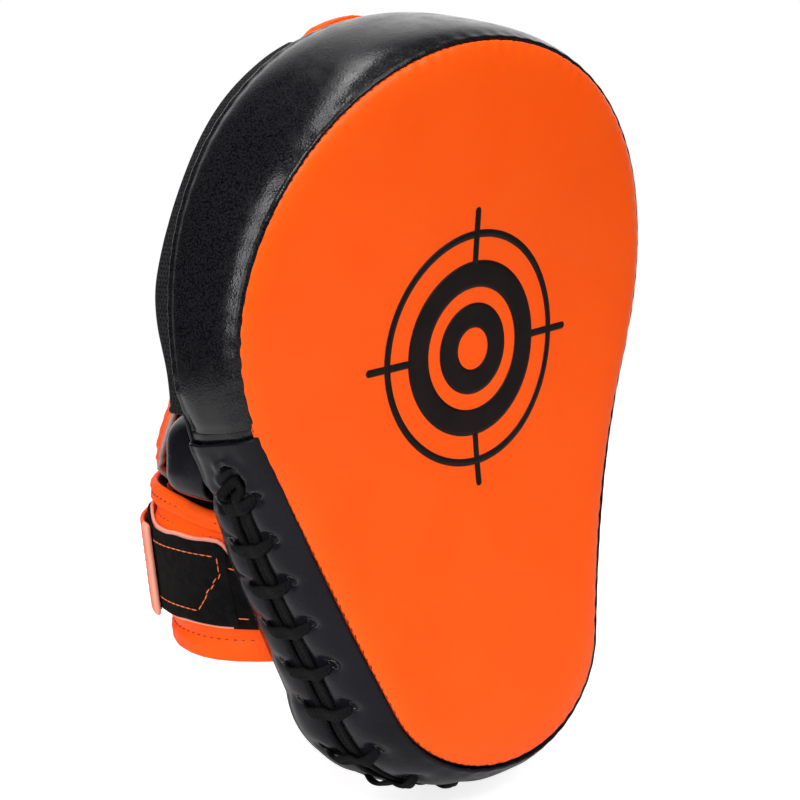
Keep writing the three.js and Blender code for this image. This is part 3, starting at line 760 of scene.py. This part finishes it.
def lower_relief(run, t):
    """Valley under the lace, dimples at its holes and puffs between them, in mm outwards."""
    depth = wall_depth(place_on_loop(run))
    laced = smooth((run - LACE_START + 7) / 9) * smooth((LACE_END - run + 7) / 9)
    across = (t - LACE.centre) * depth
    out = -2.3 * bell(across, 5.2) * laced
    for share, shift, wide in ((LACE.front, 0.0, 7.5), (LACE.rear, LACE.skew, 7.0)):
        beside = (t - share) * depth
        phase = (run - shift - LACE_START) / WRAP_STEP
        near = (phase - np.round(phase)) * WRAP_STEP
        hole = np.exp(-(near ** 2 + beside ** 2) / 2.9 ** 2)
        crease = bell(near, 2.6) * bell(beside, 5.5)
        puff = 0.5 - 0.5 * np.cos(TAU * phase)
        out += laced * (-1.1 * hole - 0.55 * crease + 0.6 * puff * bell(beside, wide))
    for eye in (EYE_RUN, 2 * HALF_LENGTH - EYE_RUN):
        along, beside = run - eye, (t - EYE.t) * depth
        far = np.hypot(along * 0.88, beside)
        pucker = 0.3 * np.sin(7 * np.arctan2(along, beside) + 1.0) * bell(far - EYE.rim - 1.0, 2.4)
        out = out * smooth((far - EYE.radius) / 4.0)
        out += 0.9 * bell(far - EYE.rim, 1.5) + pucker - EYE.depth * smooth((EYE.radius + 0.9 - far) / 1.8)
    return out


def front_strip_rear(z):
    return mix(0.5, 0.975, smooth((z + 8) / 18))


def strip_grid(run, shares, lift=0.0):
    a = place_on_loop(run)
    depth = wall_depth(a)
    out = lower_relief(run, shares) + seam_relief(shares * depth, (1 - shares) * depth) + lift
    out += unevenness(wall(a, shares), 22.0, 21.0) * 0.7 * np.sin(math.pi * np.clip(shares, 0, 1)) ** 0.5
    out += 0.08 * pucker(run, 6.9, 1.7, 19.0) * bell(shares * depth - 3.0, 3.0)
    return wall(a, shares, out)


def joint_run(t):
    """Where the lower strips begin on the left side, at a depth share."""
    return share_at(JOINT.bottom - JOINT.fall * t) * HALF_LENGTH


def build_lower_gusset():
    k = gusset_rows(0.0, 1.0, 40)[:, None]
    c = np.linspace(0, 1, 620)[None, :]
    z = edge(place_on_loop(across_bottom(joint_run(0.5 * k), c)))[1]
    shares = mix(0.045, front_strip_rear(z), k)
    grid = strip_grid(across_bottom(joint_run(shares), c), shares)
    piece = shell("lower_front_strip", grid, SKIN, PAD_INSIDE, SMOOTH_BLACK)
    belongs(piece, "pad", "black_leather", "lower_gusset_front")
    start = float(share_at(1.0)) * HALF_LENGTH
    stop = 2 * HALF_LENGTH - start
    run, shares = np.broadcast_arrays(np.linspace(start, stop, 520)[None, :],
                                      gusset_rows(0.585, 0.985, 26)[:, None])
    sunk = -1.6 * (1 - smooth((run - start) / 10)) - 1.6 * (1 - smooth((stop - run) / 10))
    piece = shell("lower_rear_strip", strip_grid(run, shares, sunk), SKIN, PAD_INSIDE, SMOOTH_BLACK)
    belongs(piece, "pad", "black_leather", "lower_gusset_rear")
    run, shares = np.broadcast_arrays(np.linspace(LACE_START - 8, LACE_END + 8, 300)[None, :],
                                      np.linspace(0.40, 0.68, 10)[:, None])
    grid = wall(place_on_loop(run), shares, lower_relief(run, shares) - 2.2)
    tongue = shell("lace_tongue_cloth", grid, 0.8, PAD_INSIDE, LINING)
    belongs(tongue, "pad", "black_lining", "lace_tongue")


# ---- lace
def loop_point(run, t, out):
    """A point over the lower strips, and the direction out of them there."""
    a = place_on_loop(run)
    _, _, nx, nz = edge(a)
    return wall(a, t, lower_relief(run, t) + out), stack(nx, 0.0 * nx, nz)


def under_pad(run):
    """1 at the very bottom of the pad, where the lace is pulled flat, and 0 a little way up its sides."""
    return 1 - smooth(np.abs(run - HALF_LENGTH) / LACE.flat_over)


def wrap_parts(start, lower, lift, width):
    """One flat turn from its front hole over the strands to its rear hole."""
    f = np.linspace(0, 1, 29)
    run = start + LACE.skew * f + (LACE.sag + lower) * np.sin(math.pi * f) ** 0.8
    over = np.sin(math.pi * f) ** 0.4
    out = mix(-2.6, lift - 2.5 * under_pad(start), over)
    path, up = loop_point(run, mix(LACE.front, LACE.rear, f), out)
    wide = mix(1.9, width, np.sin(math.pi * f) ** 0.85)
    return sweep_parts(path, up, wide, mix(1.2, 1.5, over))


def strand_parts(start, aside, width):
    """One strand of the cord in the valley, from under one turn to under the next."""
    f = np.linspace(0, 1, 18)
    run = start + LACE.skew / 2 + LACE.sag + (WRAP_STEP + 1.0) * f
    bow = aside * (1 + 0.16 * np.sin(math.pi * f))
    out = 0.7 + 0.3 * np.sin(math.pi * f) - 2.0 * under_pad(run)
    path, up = loop_point(run, LACE.centre + bow / wall_depth(place_on_loop(run)), out)
    return sweep_parts(path, up, width, 1.7)


def ring_parts(run, t, radius=1.9, thick=0.8, lift=-0.1):
    """The raised rim of a punched hole."""
    around, across = 14, 6
    angle = full_turn(around)
    depth = float(wall_depth(place_on_loop(np.array([run])))[0])
    centre, up = loop_point(run + radius * np.cos(angle), t + radius * np.sin(angle) / depth, lift)
    side = np.cross(unit(np.roll(centre, -1, 0) - np.roll(centre, 1, 0)), up)
    rings = [centre + side * math.cos(b) * thick / 2 + up * math.sin(b) * thick / 2
             for b in full_turn(across)]
    points = np.stack(rings, 1).reshape(-1, 3)
    return points, grid_faces(around, across, True, True), points[:, ::2]


def build_lace():
    parts = []
    for k in range(WRAPS):
        start = LACE_START + k * WRAP_STEP
        parts.append(wrap_parts(start, 0.9, 2.6, 3.6))
        parts.append(wrap_parts(start, -1.2, 3.1, 3.3))
        if k + 1 < WRAPS:
            for aside, width in ((-3.4, 3.3), (-0.1, 3.6), (3.1, 3.2)):
                parts.append(strand_parts(start, aside, width))
    for way, at in ((1, EYE_RUN), (-1, 2 * HALF_LENGTH - EYE_RUN)):
        f = np.linspace(0, 1, 30)
        leg = np.abs(2 * f - 1)
        run = at + way * (0.8 + 11.5 * leg ** 1.6)
        depth = wall_depth(place_on_loop(run))
        spread = mix(0.0, 2.9, smooth(leg / 0.42)) * np.sign(f - 0.5)
        t = mix(EYE.t, LACE.centre, smooth(leg * 1.2)) + spread / depth
        path, up = loop_point(run, t, mix(1.2, 0.4, leg) + 1.6 * np.sin(math.pi * np.clip(leg * 1.2, 0, 1)))
        parts.append(sweep_parts(path, up, 3.5, 1.9))
    belongs(joined("lace_cord", parts, LACE_WEAVE), "pad", "black_lace", "lace")
    rims = []
    for k in range(WRAPS):
        start = LACE_START + k * WRAP_STEP
        rims.append(ring_parts(start - 0.4, LACE.front - 0.012))
        rims.append(ring_parts(start + LACE.skew - 0.4, LACE.rear + 0.012))
    belongs(joined("lace_hole_rims", rims, GLOSSY), "pad", "black_leather")


# ---- back panel and palm cushion
def build_back_panel():
    a = full_loop(400)
    _, _, nx, nz = edge(a)
    rim = wall(a, 1.0, 0.0)
    rings = []
    for d in (0.0, 0.6, 1.6, 3.0, 5.0, 8.0, 12.0):
        px, pz = rim[:, 0] - nx * (d + 0.3), rim[:, 2] - nz * (d + 0.3)
        rings.append(stack(px, back_y(pz) - 1.2 * bell(d, 1.2) + 0.25 * bell(d - 3, 1.6), pz))
    grid = filled(rings, 20, lambda x, z: back_y(z))
    grid[..., 1] += unevenness(grid, 30.0, 7.0) * 0.35 - 0.2
    piece = shell("back_skin", grid, SKIN, PAD_INSIDE, GRAINED, closed=True)
    belongs(piece, "pad", "black_leather", "back_panel")


def build_palm():
    drop = np.linspace(0, 1, 30)[1:]
    shares = (np.sin(drop * math.pi / 2) ** 0.75)[:, None]
    angle = full_turn(200)[None, :]
    x = PALM.width * signed_power(np.cos(angle), PALM.square) * shares
    z = PALM.middle + PALM.height * signed_power(np.sin(angle), PALM.square) * shares
    rise = PALM.depth * np.maximum(1 - shares ** PALM.puff, 0) ** 0.25
    grid = stack(x, back_y(z) + PALM.clear + rise, z)
    grid[..., 1] += unevenness(grid, 24.0, 9.0) * 1.2 * np.clip(rise / PALM.depth, 0, 1)
    piece = shell("palm_bolster", grid, SKIN, (0, -40, PALM.middle), SMOOTH_BLACK, closed=True)
    belongs(piece, "pad", "black_leather", "palm_cushion_cover", "palm_cushion_foam")


# ---- finger hood and hand cover
REAR_A = np.linspace(-1, 1, 1601)
REAR = wall(REAR_A, np.ones_like(REAR_A), -0.6)
REAR_ANGLE = np.arctan2(REAR[:, 0], REAR[:, 2] - HOOD.middle)
REAR_ORDER = np.argsort(REAR_ANGLE)
REAR_REACH = np.hypot(REAR[:, 0], REAR[:, 2] - HOOD.middle)
TOP_SIDE = REAR[(REAR_A >= 0) & (REAR_A <= 0.3)]


def rear_reach(angle):
    return np.interp(angle, REAR_ANGLE[REAR_ORDER], REAR_REACH[REAR_ORDER])


def seam_height(x):
    return np.interp(np.abs(x), TOP_SIDE[:, 0], TOP_SIDE[:, 2])


def hood_y(x, z):
    dz = z - HOOD.middle
    angle = np.arctan2(x, dz)
    share = np.minimum(np.hypot(x, dz) / rear_reach(angle), 1)
    power = 2 + HOOD.square * np.maximum(np.cos(angle), 0) ** 4
    depth = mix(HOOD.depth, HOOD.shallow, smooth((z - HOOD.depth_from) / HOOD.depth_over))
    return BACK.upper + 0.4 + depth * (1 - share ** power) ** (1 / power)


def cover_y(x, z):
    share = np.minimum(np.abs(x / CUFF.width), 1)
    low = CUFF.middle + CUFF.depth * (1 - share ** CUFF.square) ** (1 / CUFF.square)
    flare = smooth((HOOD.flare_from - z) / (HOOD.flare_from - COVER.bottom))
    return mix(hood_y(x, np.maximum(z, HOOD.middle)), low, flare)


def cover_half(z):
    low = mix(COVER.bottom_half, HOOD.mouth_half, (z - COVER.bottom) / (HOOD.middle - COVER.bottom))
    rise = np.clip((z - HOOD.middle) / (REAR[800, 2] - HOOD.middle), 0, 1)
    return np.where(z < HOOD.middle, low, mix(HOOD.mouth_half, HOOD.seam_half, rise ** 0.8))


def cover_place(rise, across):
    half = cover_half(mix(HOOD.middle, REAR[800, 2], rise))
    x = half * across
    z = mix(HOOD.middle, seam_height(x), rise)
    return stack(x, cover_y(x, z), z)


HOOD_INSIDE = (0, -30, 40)


def cover_notch(z):
    """The cover's side edges stand back a little beside the thumb openings."""
    return 3.2 * bell(z - 20.0, 15.0)


def cover_grid(shrink):
    """The hand cover's outer surface, from its hem up to the pad's top seam."""
    across = np.linspace(-1, 1, 61)
    rows = []
    for z in np.linspace(COVER.tuck + shrink, HOOD.middle, 22, endpoint=False):
        x = (cover_half(z) - shrink - cover_notch(z)) * across
        rows.append(stack(x, cover_y(x, z), z))
    rises = [math.sqrt(math.sin(bend)) for bend in np.linspace(0, 1.535, 42)]
    for rise in rises + [0.9995, 0.9998, 0.99995, 1.0]:
        z = mix(HOOD.middle, REAR[800, 2], rise)
        narrow = 1 - (shrink + cover_notch(z)) / cover_half(z)
        rows.append(cover_place(rise, across * narrow))
    rows.append(rows[-1] + np.array([0.0, -1.3, -0.2]))
    return np.stack(rows)


def cover_relief(grid, from_edge, from_hem):
    """How far the padding stands out, tucked at its edges and creased at its seams, and where it is full."""
    from_top = from_hem[-1:] - from_hem
    full = smooth(from_edge / 9) * smooth(from_hem / 9) * smooth(from_top / 16)
    out = 1.3 * full - 0.8 * (1 - full) - 3.6 * (1 - smooth((from_hem - 1.5) / 6.5))
    out -= 0.8 * bell(from_edge - COVER.edge_row, 1.1) * smooth(from_top / 12)
    out -= 0.8 * bell(from_hem - COVER.hem_row, 1.1)
    out += (unevenness(grid, 34.0, 31.0) * 0.9 + unevenness(grid, 13.0, 32.0) * 0.3) * smooth(from_top / 9)
    out += 0.16 * pucker(from_hem, 7.7, 1.5, 17.0) * bell(from_edge - 5.5, 3.0)
    out += 2.2 * bell(from_top - 8.0, 8.0) * smooth(from_top / 3) * smooth(from_edge / 22)
    return out, full


def build_hand_cover():
    grid = cover_grid(2.0)
    n = grid_normals(grid, HOOD_INSIDE)
    columns = grid.shape[1]
    across = np.linspace(-1, 1, columns)
    from_edge = (1 - np.abs(across[None, :])) * np.abs(grid[:, -1:, 0])
    from_hem = grid_run(grid, 0)
    out, full = cover_relief(grid, from_edge, from_hem)
    padded = grid + n * out[..., None]
    thick = mix(2.0, COVER.thick, full)
    piece = shell("hand_cover_pad", padded, thick, HOOD_INSIDE, ORANGE_SOFT, rim=4)
    belongs(piece, "pad", "orange_leather", "hand_cover", "hand_cover_foam")
    cloth = (padded - n * (thick + 0.12)[..., None])[2:-9, 1:-1]
    lining = shell("hand_cover_lining_cloth", cloth, COVER.lining, HOOD_INSIDE, LINING)
    belongs(lining, "pad", "black_lining", "hand_cover_lining")
    # The side bindings take the pale material: a painted highlight along the edges.
    bindings = []
    for column in (0, columns - 1):
        path = padded[0:-5, column] - n[0:-5, column] * 1.0
        towards = unit(padded[0:-5, column] - padded[0:-5, columns // 2]) * 0.9
        bindings.append(sweep_parts(path + towards, n[0:-5, column], 0.8, 1.5))
    belongs(joined("hand_cover_binding", bindings, HIGHLIGHT_BINDING), "pad", "orange_leather")
    seams = []
    for side in (-1, 1):
        column = nearest(across, side * (1 - COVER.edge_row / 66))
        seams.append((padded[3:-7, column], n[3:-7, column]))
    row = nearest(from_hem[:, columns // 2], COVER.hem_row)
    seams.append((padded[row, 4:-4], n[row, 4:-4]))
    sew("hand_cover_stitches", seams, (3.4, 2.3, 0.5), RED_THREAD, "pad", "orange_leather")


def mesh_grid(side):
    """The mesh side between the pad's rear seam and the hand cover's edge."""
    first = share_at(JOINT.top + 1)
    v = np.linspace(0, 1, 90)[:, None]
    u = np.linspace(0, 1, 40)[None, :]
    inner = cover_place(mix(MESH.low, MESH.high, v), 1.0)
    outer = wall(mix(first, first * MESH.top, v), np.ones_like(v), -0.9)
    share = 1 - (1 - u) ** 1.5
    x = mix(outer[..., 0], inner[..., 0] - 1.0, share)
    z = mix(outer[..., 2], inner[..., 2], share)
    loose = mix(MESH.taut, 1, smooth(v / MESH.taut_over))
    tight = mix(BACK.upper, cover_y(inner[..., 0] - 1.0, inner[..., 2]) - 2.0, share)
    free = cover_y(x, z) - 2.0 * share
    y = mix(tight, free, loose)
    grid = stack(side * x, np.where(u > 0, y, BACK.upper - 1.0), z)
    n = grid_normals(grid, HOOD_INSIDE)
    out = unevenness(grid, 18.0, 40.0 + side) * 0.8 * np.sin(math.pi * np.clip(u, 0.03, 0.97)) ** 0.5
    return grid + n * out[..., None]


def build_hood_mesh():
    for side, word in ((1, "right"), (-1, "left")):
        grid = mesh_grid(side)
        piece = shell(f"mesh_side_{word}", grid, MESH.thick, HOOD_INSIDE, SPORT_MESH)
        belongs(piece, "pad", "black_mesh", f"hood_mesh_{word}")
        n = grid_normals(grid, HOOD_INSIDE)
        hem = sweep_parts(grid[0, 3:] - n[0, 3:] * 0.5, n[0, 3:], 2.4, 1.9)
        binding = joined(f"mesh_binding_{word}", [hem], GRAINED)
        belongs(binding, "pad", "black_leather")


# ---- wrist cuff
def cuff_point(s, z):
    """On the cuff's outer surface: s is -1 and 1 at the sewn front edges and 0 at the back."""
    s, z = np.broadcast_arrays(np.asarray(s, float), np.asarray(z, float))
    q = np.abs(s)
    width = CUFF.width + CUFF.spread * (z - STRAP.bottom)
    power = 2 / CUFF.square
    angle = np.minimum(q / CUFF.straight, 1) * math.pi / 2
    front = CUFF.front + CUFF.taper * (z - (STRAP.top + STRAP.bottom) / 2)
    r = np.clip((q - CUFF.straight) / (1 - CUFF.straight), 0, 1)
    is_round = q <= CUFF.straight
    x = np.where(is_round, width * np.sin(angle) ** power, width - (width - front) * r * r)
    y_round = CUFF.middle + CUFF.depth * np.maximum(np.cos(angle), 0) ** power
    y = np.where(is_round, y_round, mix(CUFF.middle, back_y(z) + CUFF.gap, r))
    return stack(np.sign(s) * x, y, z)


def cuff_stations(start, end, pitch=2.0):
    """Places along the cuff at even steps, so its curve gets an even mesh."""
    fine = np.linspace(start, end, 1500)
    run = grid_run(cuff_point(fine, -40.0)[:, None], 0)[:, 0]
    count = int(run[-1] / pitch)
    return np.interp(np.linspace(0, run[-1], count), run, fine)


CUFF_INSIDE = (0, 0, -40)


def cuff_surface(s, z, out):
    """The cuff's outer surface moved out by out, for broadcastable s, z and out."""
    s, z, out = np.broadcast_arrays(s, z, out)
    grid = cuff_point(s, z)
    step = 2e-3
    du = cuff_point(np.clip(s + step, -1, 1), z) - cuff_point(np.clip(s - step, -1, 1), z)
    dv = cuff_point(s, z + 0.5) - cuff_point(s, z - 0.5)
    n = unit(np.cross(du, dv))
    n *= np.sign(np.sum((grid - np.array(CUFF_INSIDE)) * n, axis=-1, keepdims=True))
    return grid + n * out[..., None], n


# The cuff's stitched rows: the height of each, how deep it is pulled in and over what width.
CUFF_ROWS = ((CUFF.top - 4.0, 0.55, 0.8), (-22.0, 0.5, 0.8), (-63.5, 0.7, 1.0))


def cuff_profile(z):
    """How far the cuff's padding stands out at a height: a roll at the top, grooves and a hem."""
    roll = 1.9 * smooth((CUFF.top - z + 0.5) / 3) * smooth((z - CUFF.top + 9.5) / 2.5)
    body = 1.3 * smooth((CUFF.top - 9.6 - z) / 4) * smooth((z + 62.5) / 4)
    hem = 0.6 * smooth((-64.0 - z) / 2)
    rows = sum(depth * bell(z - height, wide) for height, depth, wide in CUFF_ROWS)
    groove = 0.7 * bell(z - CUFF.top + 9.0, 1.3)
    return roll + body + hem - rows - groove


def cuff_height(level, s):
    """The height of a row of the cuff. The upper rows fall towards its sewn front edges."""
    return level - 5.5 * smooth((np.abs(s) - 0.60) / 0.36) * smooth((level + 36) / 24)


def build_cuff_half(word, start, end, body):
    s = cuff_stations(start, end)
    rim = 1.1
    k = np.linspace(0, 1, 60)[:, None]
    level = mix(CUFF.bottom + rim, CUFF.top - rim * 0.6, k)
    z = cuff_height(level, s[None, :])
    out = cuff_profile(level) + 0.0 * s[None, :]
    base = cuff_point(s[None, :], z)
    out += unevenness(base, 20.0, 51.0) * 0.55 + unevenness(base, 8.0, 52.0) * 0.15
    pull = pucker(grid_run(base[:1], 1), 8.3, 1.3, 13.0)
    out += 0.2 * pull * (bell(level - CUFF.top + 6.5, 3.0) + bell(level + 66.0, 4.0))
    grid, normal = cuff_surface(s[None, :], z, out)
    thick = mix(2.2, CUFF.thick, smooth((CUFF.top - level) / 7.5) * smooth((level - CUFF.bottom) / 7.5))
    piece = shell(f"cuff_{word}_padding", grid, thick, CUFF_INSIDE, ORANGE_SOFT, rim=4)
    belongs(piece, body, "orange_leather", f"cuff_{word}_outer", f"cuff_{word}_foam", f"cuff_{word}_rim")
    inner = (grid - normal * (thick + 0.12)[..., None])[3:-1, 1:-1]
    lining = shell(f"cuff_{word}_lining_cloth", inner, 0.9, CUFF_INSIDE, LINING)
    belongs(lining, body, "black_lining", f"cuff_{word}_lining")
    seams = []
    inner_s = s[2:-2]
    for row, _, _ in CUFF_ROWS:
        level = np.full_like(inner_s, row)
        seams.append(cuff_surface(inner_s, cuff_height(level, inner_s), cuff_profile(level) + 0.35))
    sew(f"cuff_{word}_stitches", seams, (3.3, 1.5, 0.45), RED_THREAD, body, "orange_leather")


# ---- strap, its tapes and its tail
STRAP_BASE = STRAP.lift + STRAP.thick + 1.3
LOOP_TOP = STRAP_BASE + 0.2 + TAPE.thick
HOOK_TOP = LOOP_TOP + 0.2 + HOOK.thick


def strap_band(name, start, end, top, bottom, depth, thick, finish, wave=0.0):
    """A band over the cuff. top and bottom may be functions of the place along it; depth is how far
    its outer side stands off the cuff."""
    s = cuff_stations(start, end, min(1.6, (end - start) * 50))[None, :]
    k = np.linspace(0, 1, 22)[:, None]
    high = top(s) if callable(top) else top
    low = bottom(s) if callable(bottom) else bottom
    rim = thick / 2
    z = mix(low + rim, high - rim, k)
    off = depth(s) if callable(depth) else depth
    base = cuff_point(s, z)
    ripple = unevenness(base, 9.0, 61.0) * wave
    grid, n = cuff_surface(s, z + ripple * np.abs(2 * k - 1) ** 3, off + 0.0 * z + ripple * 0.3)
    return shell(name, grid, thick, CUFF_INSIDE, finish), grid, n


def left_strap_top(s):
    """The strap's sewn end lies a little lower, and steps down again at the end of its loop tape."""
    return STRAP.top - 4.2 * smooth((-s - 0.45) / 0.15) - 4.0 * smooth((-s - 0.90) / 0.05)


def build_left_strap():
    """The sewn end on the left, with the loop tape on it."""
    left, _, _ = strap_band("strap_left_band", -STRAP.sewn, STRAP.left_end,
                            lambda s: left_strap_top(s) + 0.7, STRAP.bottom - 0.8,
                            STRAP_BASE, STRAP.thick, CUT_EDGE, 0.6)
    belongs(left, "pad", "orange_leather", "strap_left")
    tape, grid, n = strap_band("loop_tape_patch", TAPE.start, TAPE.end,
                               lambda s: left_strap_top(s) - 0.4, STRAP.bottom + 0.6,
                               LOOP_TOP, TAPE.thick, LOOP, 0.7)
    belongs(tape, "pad", "hook_and_loop", "loop_tape")
    tip, tip_grid, tip_n = strap_band("loop_tape_tip", TAPE.tip_start, TAPE.tip_end,
                                      lambda s: left_strap_top(s) - 1.2, STRAP.bottom - 0.4,
                                      LOOP_TOP - 0.3, TAPE.thick, LOOP, 0.7)
    belongs(tip, "pad", "hook_and_loop", "loop_tape_end")
    high, low = -4, 3
    rows = len(grid)
    climb = np.arange(low, rows + high + 1)
    column = np.round(2 + 6 * smooth((0.72 - climb / (rows - 1)) / 0.6)).astype(int)
    parts = stitch_parts(grid[climb, column], n[climb, column], 3.0, 2.5, 0.45, 0.0, -0.1)
    for row, begin in ((high, 3), (low, 9)):
        parts += stitch_parts(grid[row, begin:], n[row, begin:], 3.0, 2.6, 0.45, 0.0, -0.1)
        parts += stitch_parts(tip_grid[row, 1:-1], tip_n[row, 1:-1], 3.0, 2.6, 0.45, 0.0, -0.1)
    belongs(joined("loop_tape_stitches", parts, ORANGE_THREAD), "pad", "orange_leather")


def build_right_strap():
    """The sewn end on the right, and the hook tape under the tail."""
    right, _, _ = strap_band("strap_right_band", STRAP.right_end, STRAP.sewn, STRAP.top, STRAP.bottom,
                             STRAP_BASE, STRAP.thick, ORANGE_SOFT, 0.3)
    belongs(right, "cuff_right", "orange_leather", "strap_right")
    hook, _, _ = strap_band("hook_tape_patch", HOOK.start, HOOK.end, TAIL.top - 1.5, TAIL.bottom + 1.5,
                            HOOK_TOP, HOOK.thick, HOOKS, 0.3)
    belongs(hook, "strap_tail", "hook_and_loop", "hook_tape")


def tail_depth(s):
    """How far the tail's outer side stands off the cuff: over its hook tape, and lower at its root."""
    share = smooth((s + TAIL.rise) / (TAIL.root + TAIL.rise))
    return mix(HOOK_TOP + 0.2, STRAP_BASE + TAIL.clear, share) + TAIL.thick


def build_strap_tail():
    """The loose tail. Its end and its stitches ride on the tail's own body; its band is not attached to one.
    """
    tail, grid, n = strap_band("strap_tail_band", TAIL.end + 0.036, TAIL.root + 0.03, TAIL.top,
                               TAIL.bottom, tail_depth, TAIL.thick, ORANGE_SOFT, 0.3)
    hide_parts("strap_tail")
    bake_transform(tail)
    lip, _, _ = strap_band("strap_tail_cut_end", TAIL.end + 0.010, TAIL.end + 0.039, TAIL.top + 0.2,
                           TAIL.bottom - 0.2, tail_depth(TAIL.end) + 0.12, TAIL.thick + 0.6, CUT_EDGE, 0.3)
    belongs(lip, "strap_tail", "orange_leather")
    short_of_root = slice(3, -12)
    seams = [(grid[row, short_of_root], n[row, short_of_root]) for row in (-4, 3)]
    seams.append((grid[3:-3, 3], n[3:-3, 3]))
    sew("strap_tail_stitches", seams, (3.0, 2.0, 0.45), RED_THREAD, "strap_tail", "orange_leather")


# ---- camera, light and floor
ROOM = SimpleNamespace(bright_side=(0.755, 0.654, 0.05), turn_from=0.6, turn_to=0.97, dim=0.03, bright=1.25)
FLOOR = SimpleNamespace(radius=0.5, sides=96, below=0.004, glow=0.75)
# Each light's place, the point it looks at, its size in metres and its power in watts.
LIGHTS = {
    "key": ((-0.72, -1.00, 0.85), (0, -0.05, 0), (0.50, 0.34), 9.4),
    "strip_left": ((-1.14, 0.04, 0.40), (0, -0.05, 0), (0.20, 1.25), 8.6),
    "strip_top": ((-0.16, 0.16, 1.18), (0, -0.05, 0.05), (1.20, 0.14), 5.0),
    "left": ((-1.35, -0.62, 0.10), (0, -0.05, -0.02), (0.35, 0.7), 3.6),
    "top": ((0.10, -0.35, 1.35), (0, -0.05, 0), (0.8, 0.5), 3.6),
    "front": ((0.15, -1.30, 0.95), (0, -0.05, 0), (0.6, 0.9), 11.0),
}
CAMERA = SimpleNamespace(place=(-418.3, -491.3, 143.9), right=(0.72144, -0.68842, -0.07484),
                         up=(0.19702, 0.10046, 0.97524), back=(-0.66386, -0.71832, 0.20811),
                         lens=79.8, sensor=36.0)


def build_camera():
    data = bpy.data.cameras.new("camera")
    data.lens = CAMERA.lens
    data.sensor_width = CAMERA.sensor
    data.clip_start, data.clip_end = 0.01, 20.0
    camera = bpy.data.objects.new("camera", data)
    bpy.context.scene.collection.objects.link(camera)
    turn = Matrix((CAMERA.right, CAMERA.up, CAMERA.back)).transposed()
    camera.matrix_world = Matrix.Translation(Vector(CAMERA.place) * MM) @ turn.to_4x4()
    bpy.context.scene.camera = camera


def build_lights():
    for name, (place, target, size, power) in LIGHTS.items():
        data = bpy.data.lights.new(name, "AREA")
        data.shape = "RECTANGLE"
        data.size, data.size_y = size
        data.energy = power
        light = bpy.data.objects.new(name, data)
        light.location = place
        light.rotation_mode = "QUATERNION"
        light.rotation_quaternion = (Vector(target) - Vector(place)).to_track_quat("-Z", "Y")
        bpy.context.scene.collection.objects.link(light)


def build_room():
    """A white room to the camera. To the mitt it is bright behind and dim in front."""
    scene = bpy.context.scene
    scene.view_settings.view_transform = "Standard"
    scene.world = bpy.data.worlds.new("studio")
    scene.world.use_nodes = True
    room = Nodes(scene.world.node_tree)
    sky = room.tree.nodes["Background"]
    sky.inputs["Color"].default_value = (1.0, 1.0, 1.0, 1.0)
    way = room.node("ShaderNodeTexCoord").outputs["Generated"]
    towards = room.node("ShaderNodeVectorMath", operation="DOT_PRODUCT")
    room.feed(towards.inputs[0], way)
    room.feed(towards.inputs[1], ROOM.bright_side)
    level = room.spread(towards.outputs["Value"], ROOM.turn_from, ROOM.turn_to, ROOM.dim, ROOM.bright,
                        "SMOOTHSTEP")
    direct = room.node("ShaderNodeLightPath").outputs["Is Camera Ray"]
    strength = room.node("ShaderNodeMix", Factor=direct, A=level, B=1.0).outputs["Result"]
    room.feed(sky.inputs["Strength"], strength)


def build_floor():
    """A pale round floor. It glows for the camera only, so that it doesn't light the mitt."""
    m = Finish("pale_floor", (0.75, 0.75, 0.75), 0.9, 0.0)
    direct = m.node("ShaderNodeLightPath").outputs["Is Camera Ray"]
    m.set(Emission_Color=(1.0, 1.0, 1.0, 1.0), Emission_Strength=m.spread(direct, 0.0, 1.0, 0.0, FLOOR.glow))
    m.bump(m.noise(m.place(), 60.0), 0.02, 0.0005)
    low = cad_box[0].z - FLOOR.below
    rim = [(FLOOR.radius * math.cos(a), FLOOR.radius * math.sin(a), low) for a in full_turn(FLOOR.sides)]
    mesh = bpy.data.meshes.new("floor")
    mesh.from_pydata(rim, [], [list(range(FLOOR.sides))])
    mesh.materials.append(m.material)
    floor = bpy.data.objects.new("floor", mesh)
    bpy.context.scene.collection.objects.link(floor)


def finish_inner_nodes():
    """The layers inside the pad stay as the CAD made them, with foam materials."""
    layers = {"impact_foam": DENSE_FOAM, "rear_foam": DENSE_FOAM, "core_foam": SOFT_FOAM,
              "palm_cushion_foam": SOFT_FOAM}
    for name, finish in layers.items():
        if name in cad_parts:
            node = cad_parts[name]
            node.data.materials.clear()
            node.data.materials.append(finish)


build_camera()
build_room()
build_lights()
build_floor()
build_face()
build_target()
build_upper_gusset()
joint_band(1, "right")
joint_band(-1, "left")
build_lower_gusset()
build_lace()
build_back_panel()
build_palm()
build_hand_cover()
build_hood_mesh()
build_cuff_half("left", -1.0, CUFF.left_end, "pad")
build_cuff_half("right", CUFF.right_end, 1.0, "cuff_right")
build_left_strap()
build_right_strap()
build_strap_tail()
finish_inner_nodes()
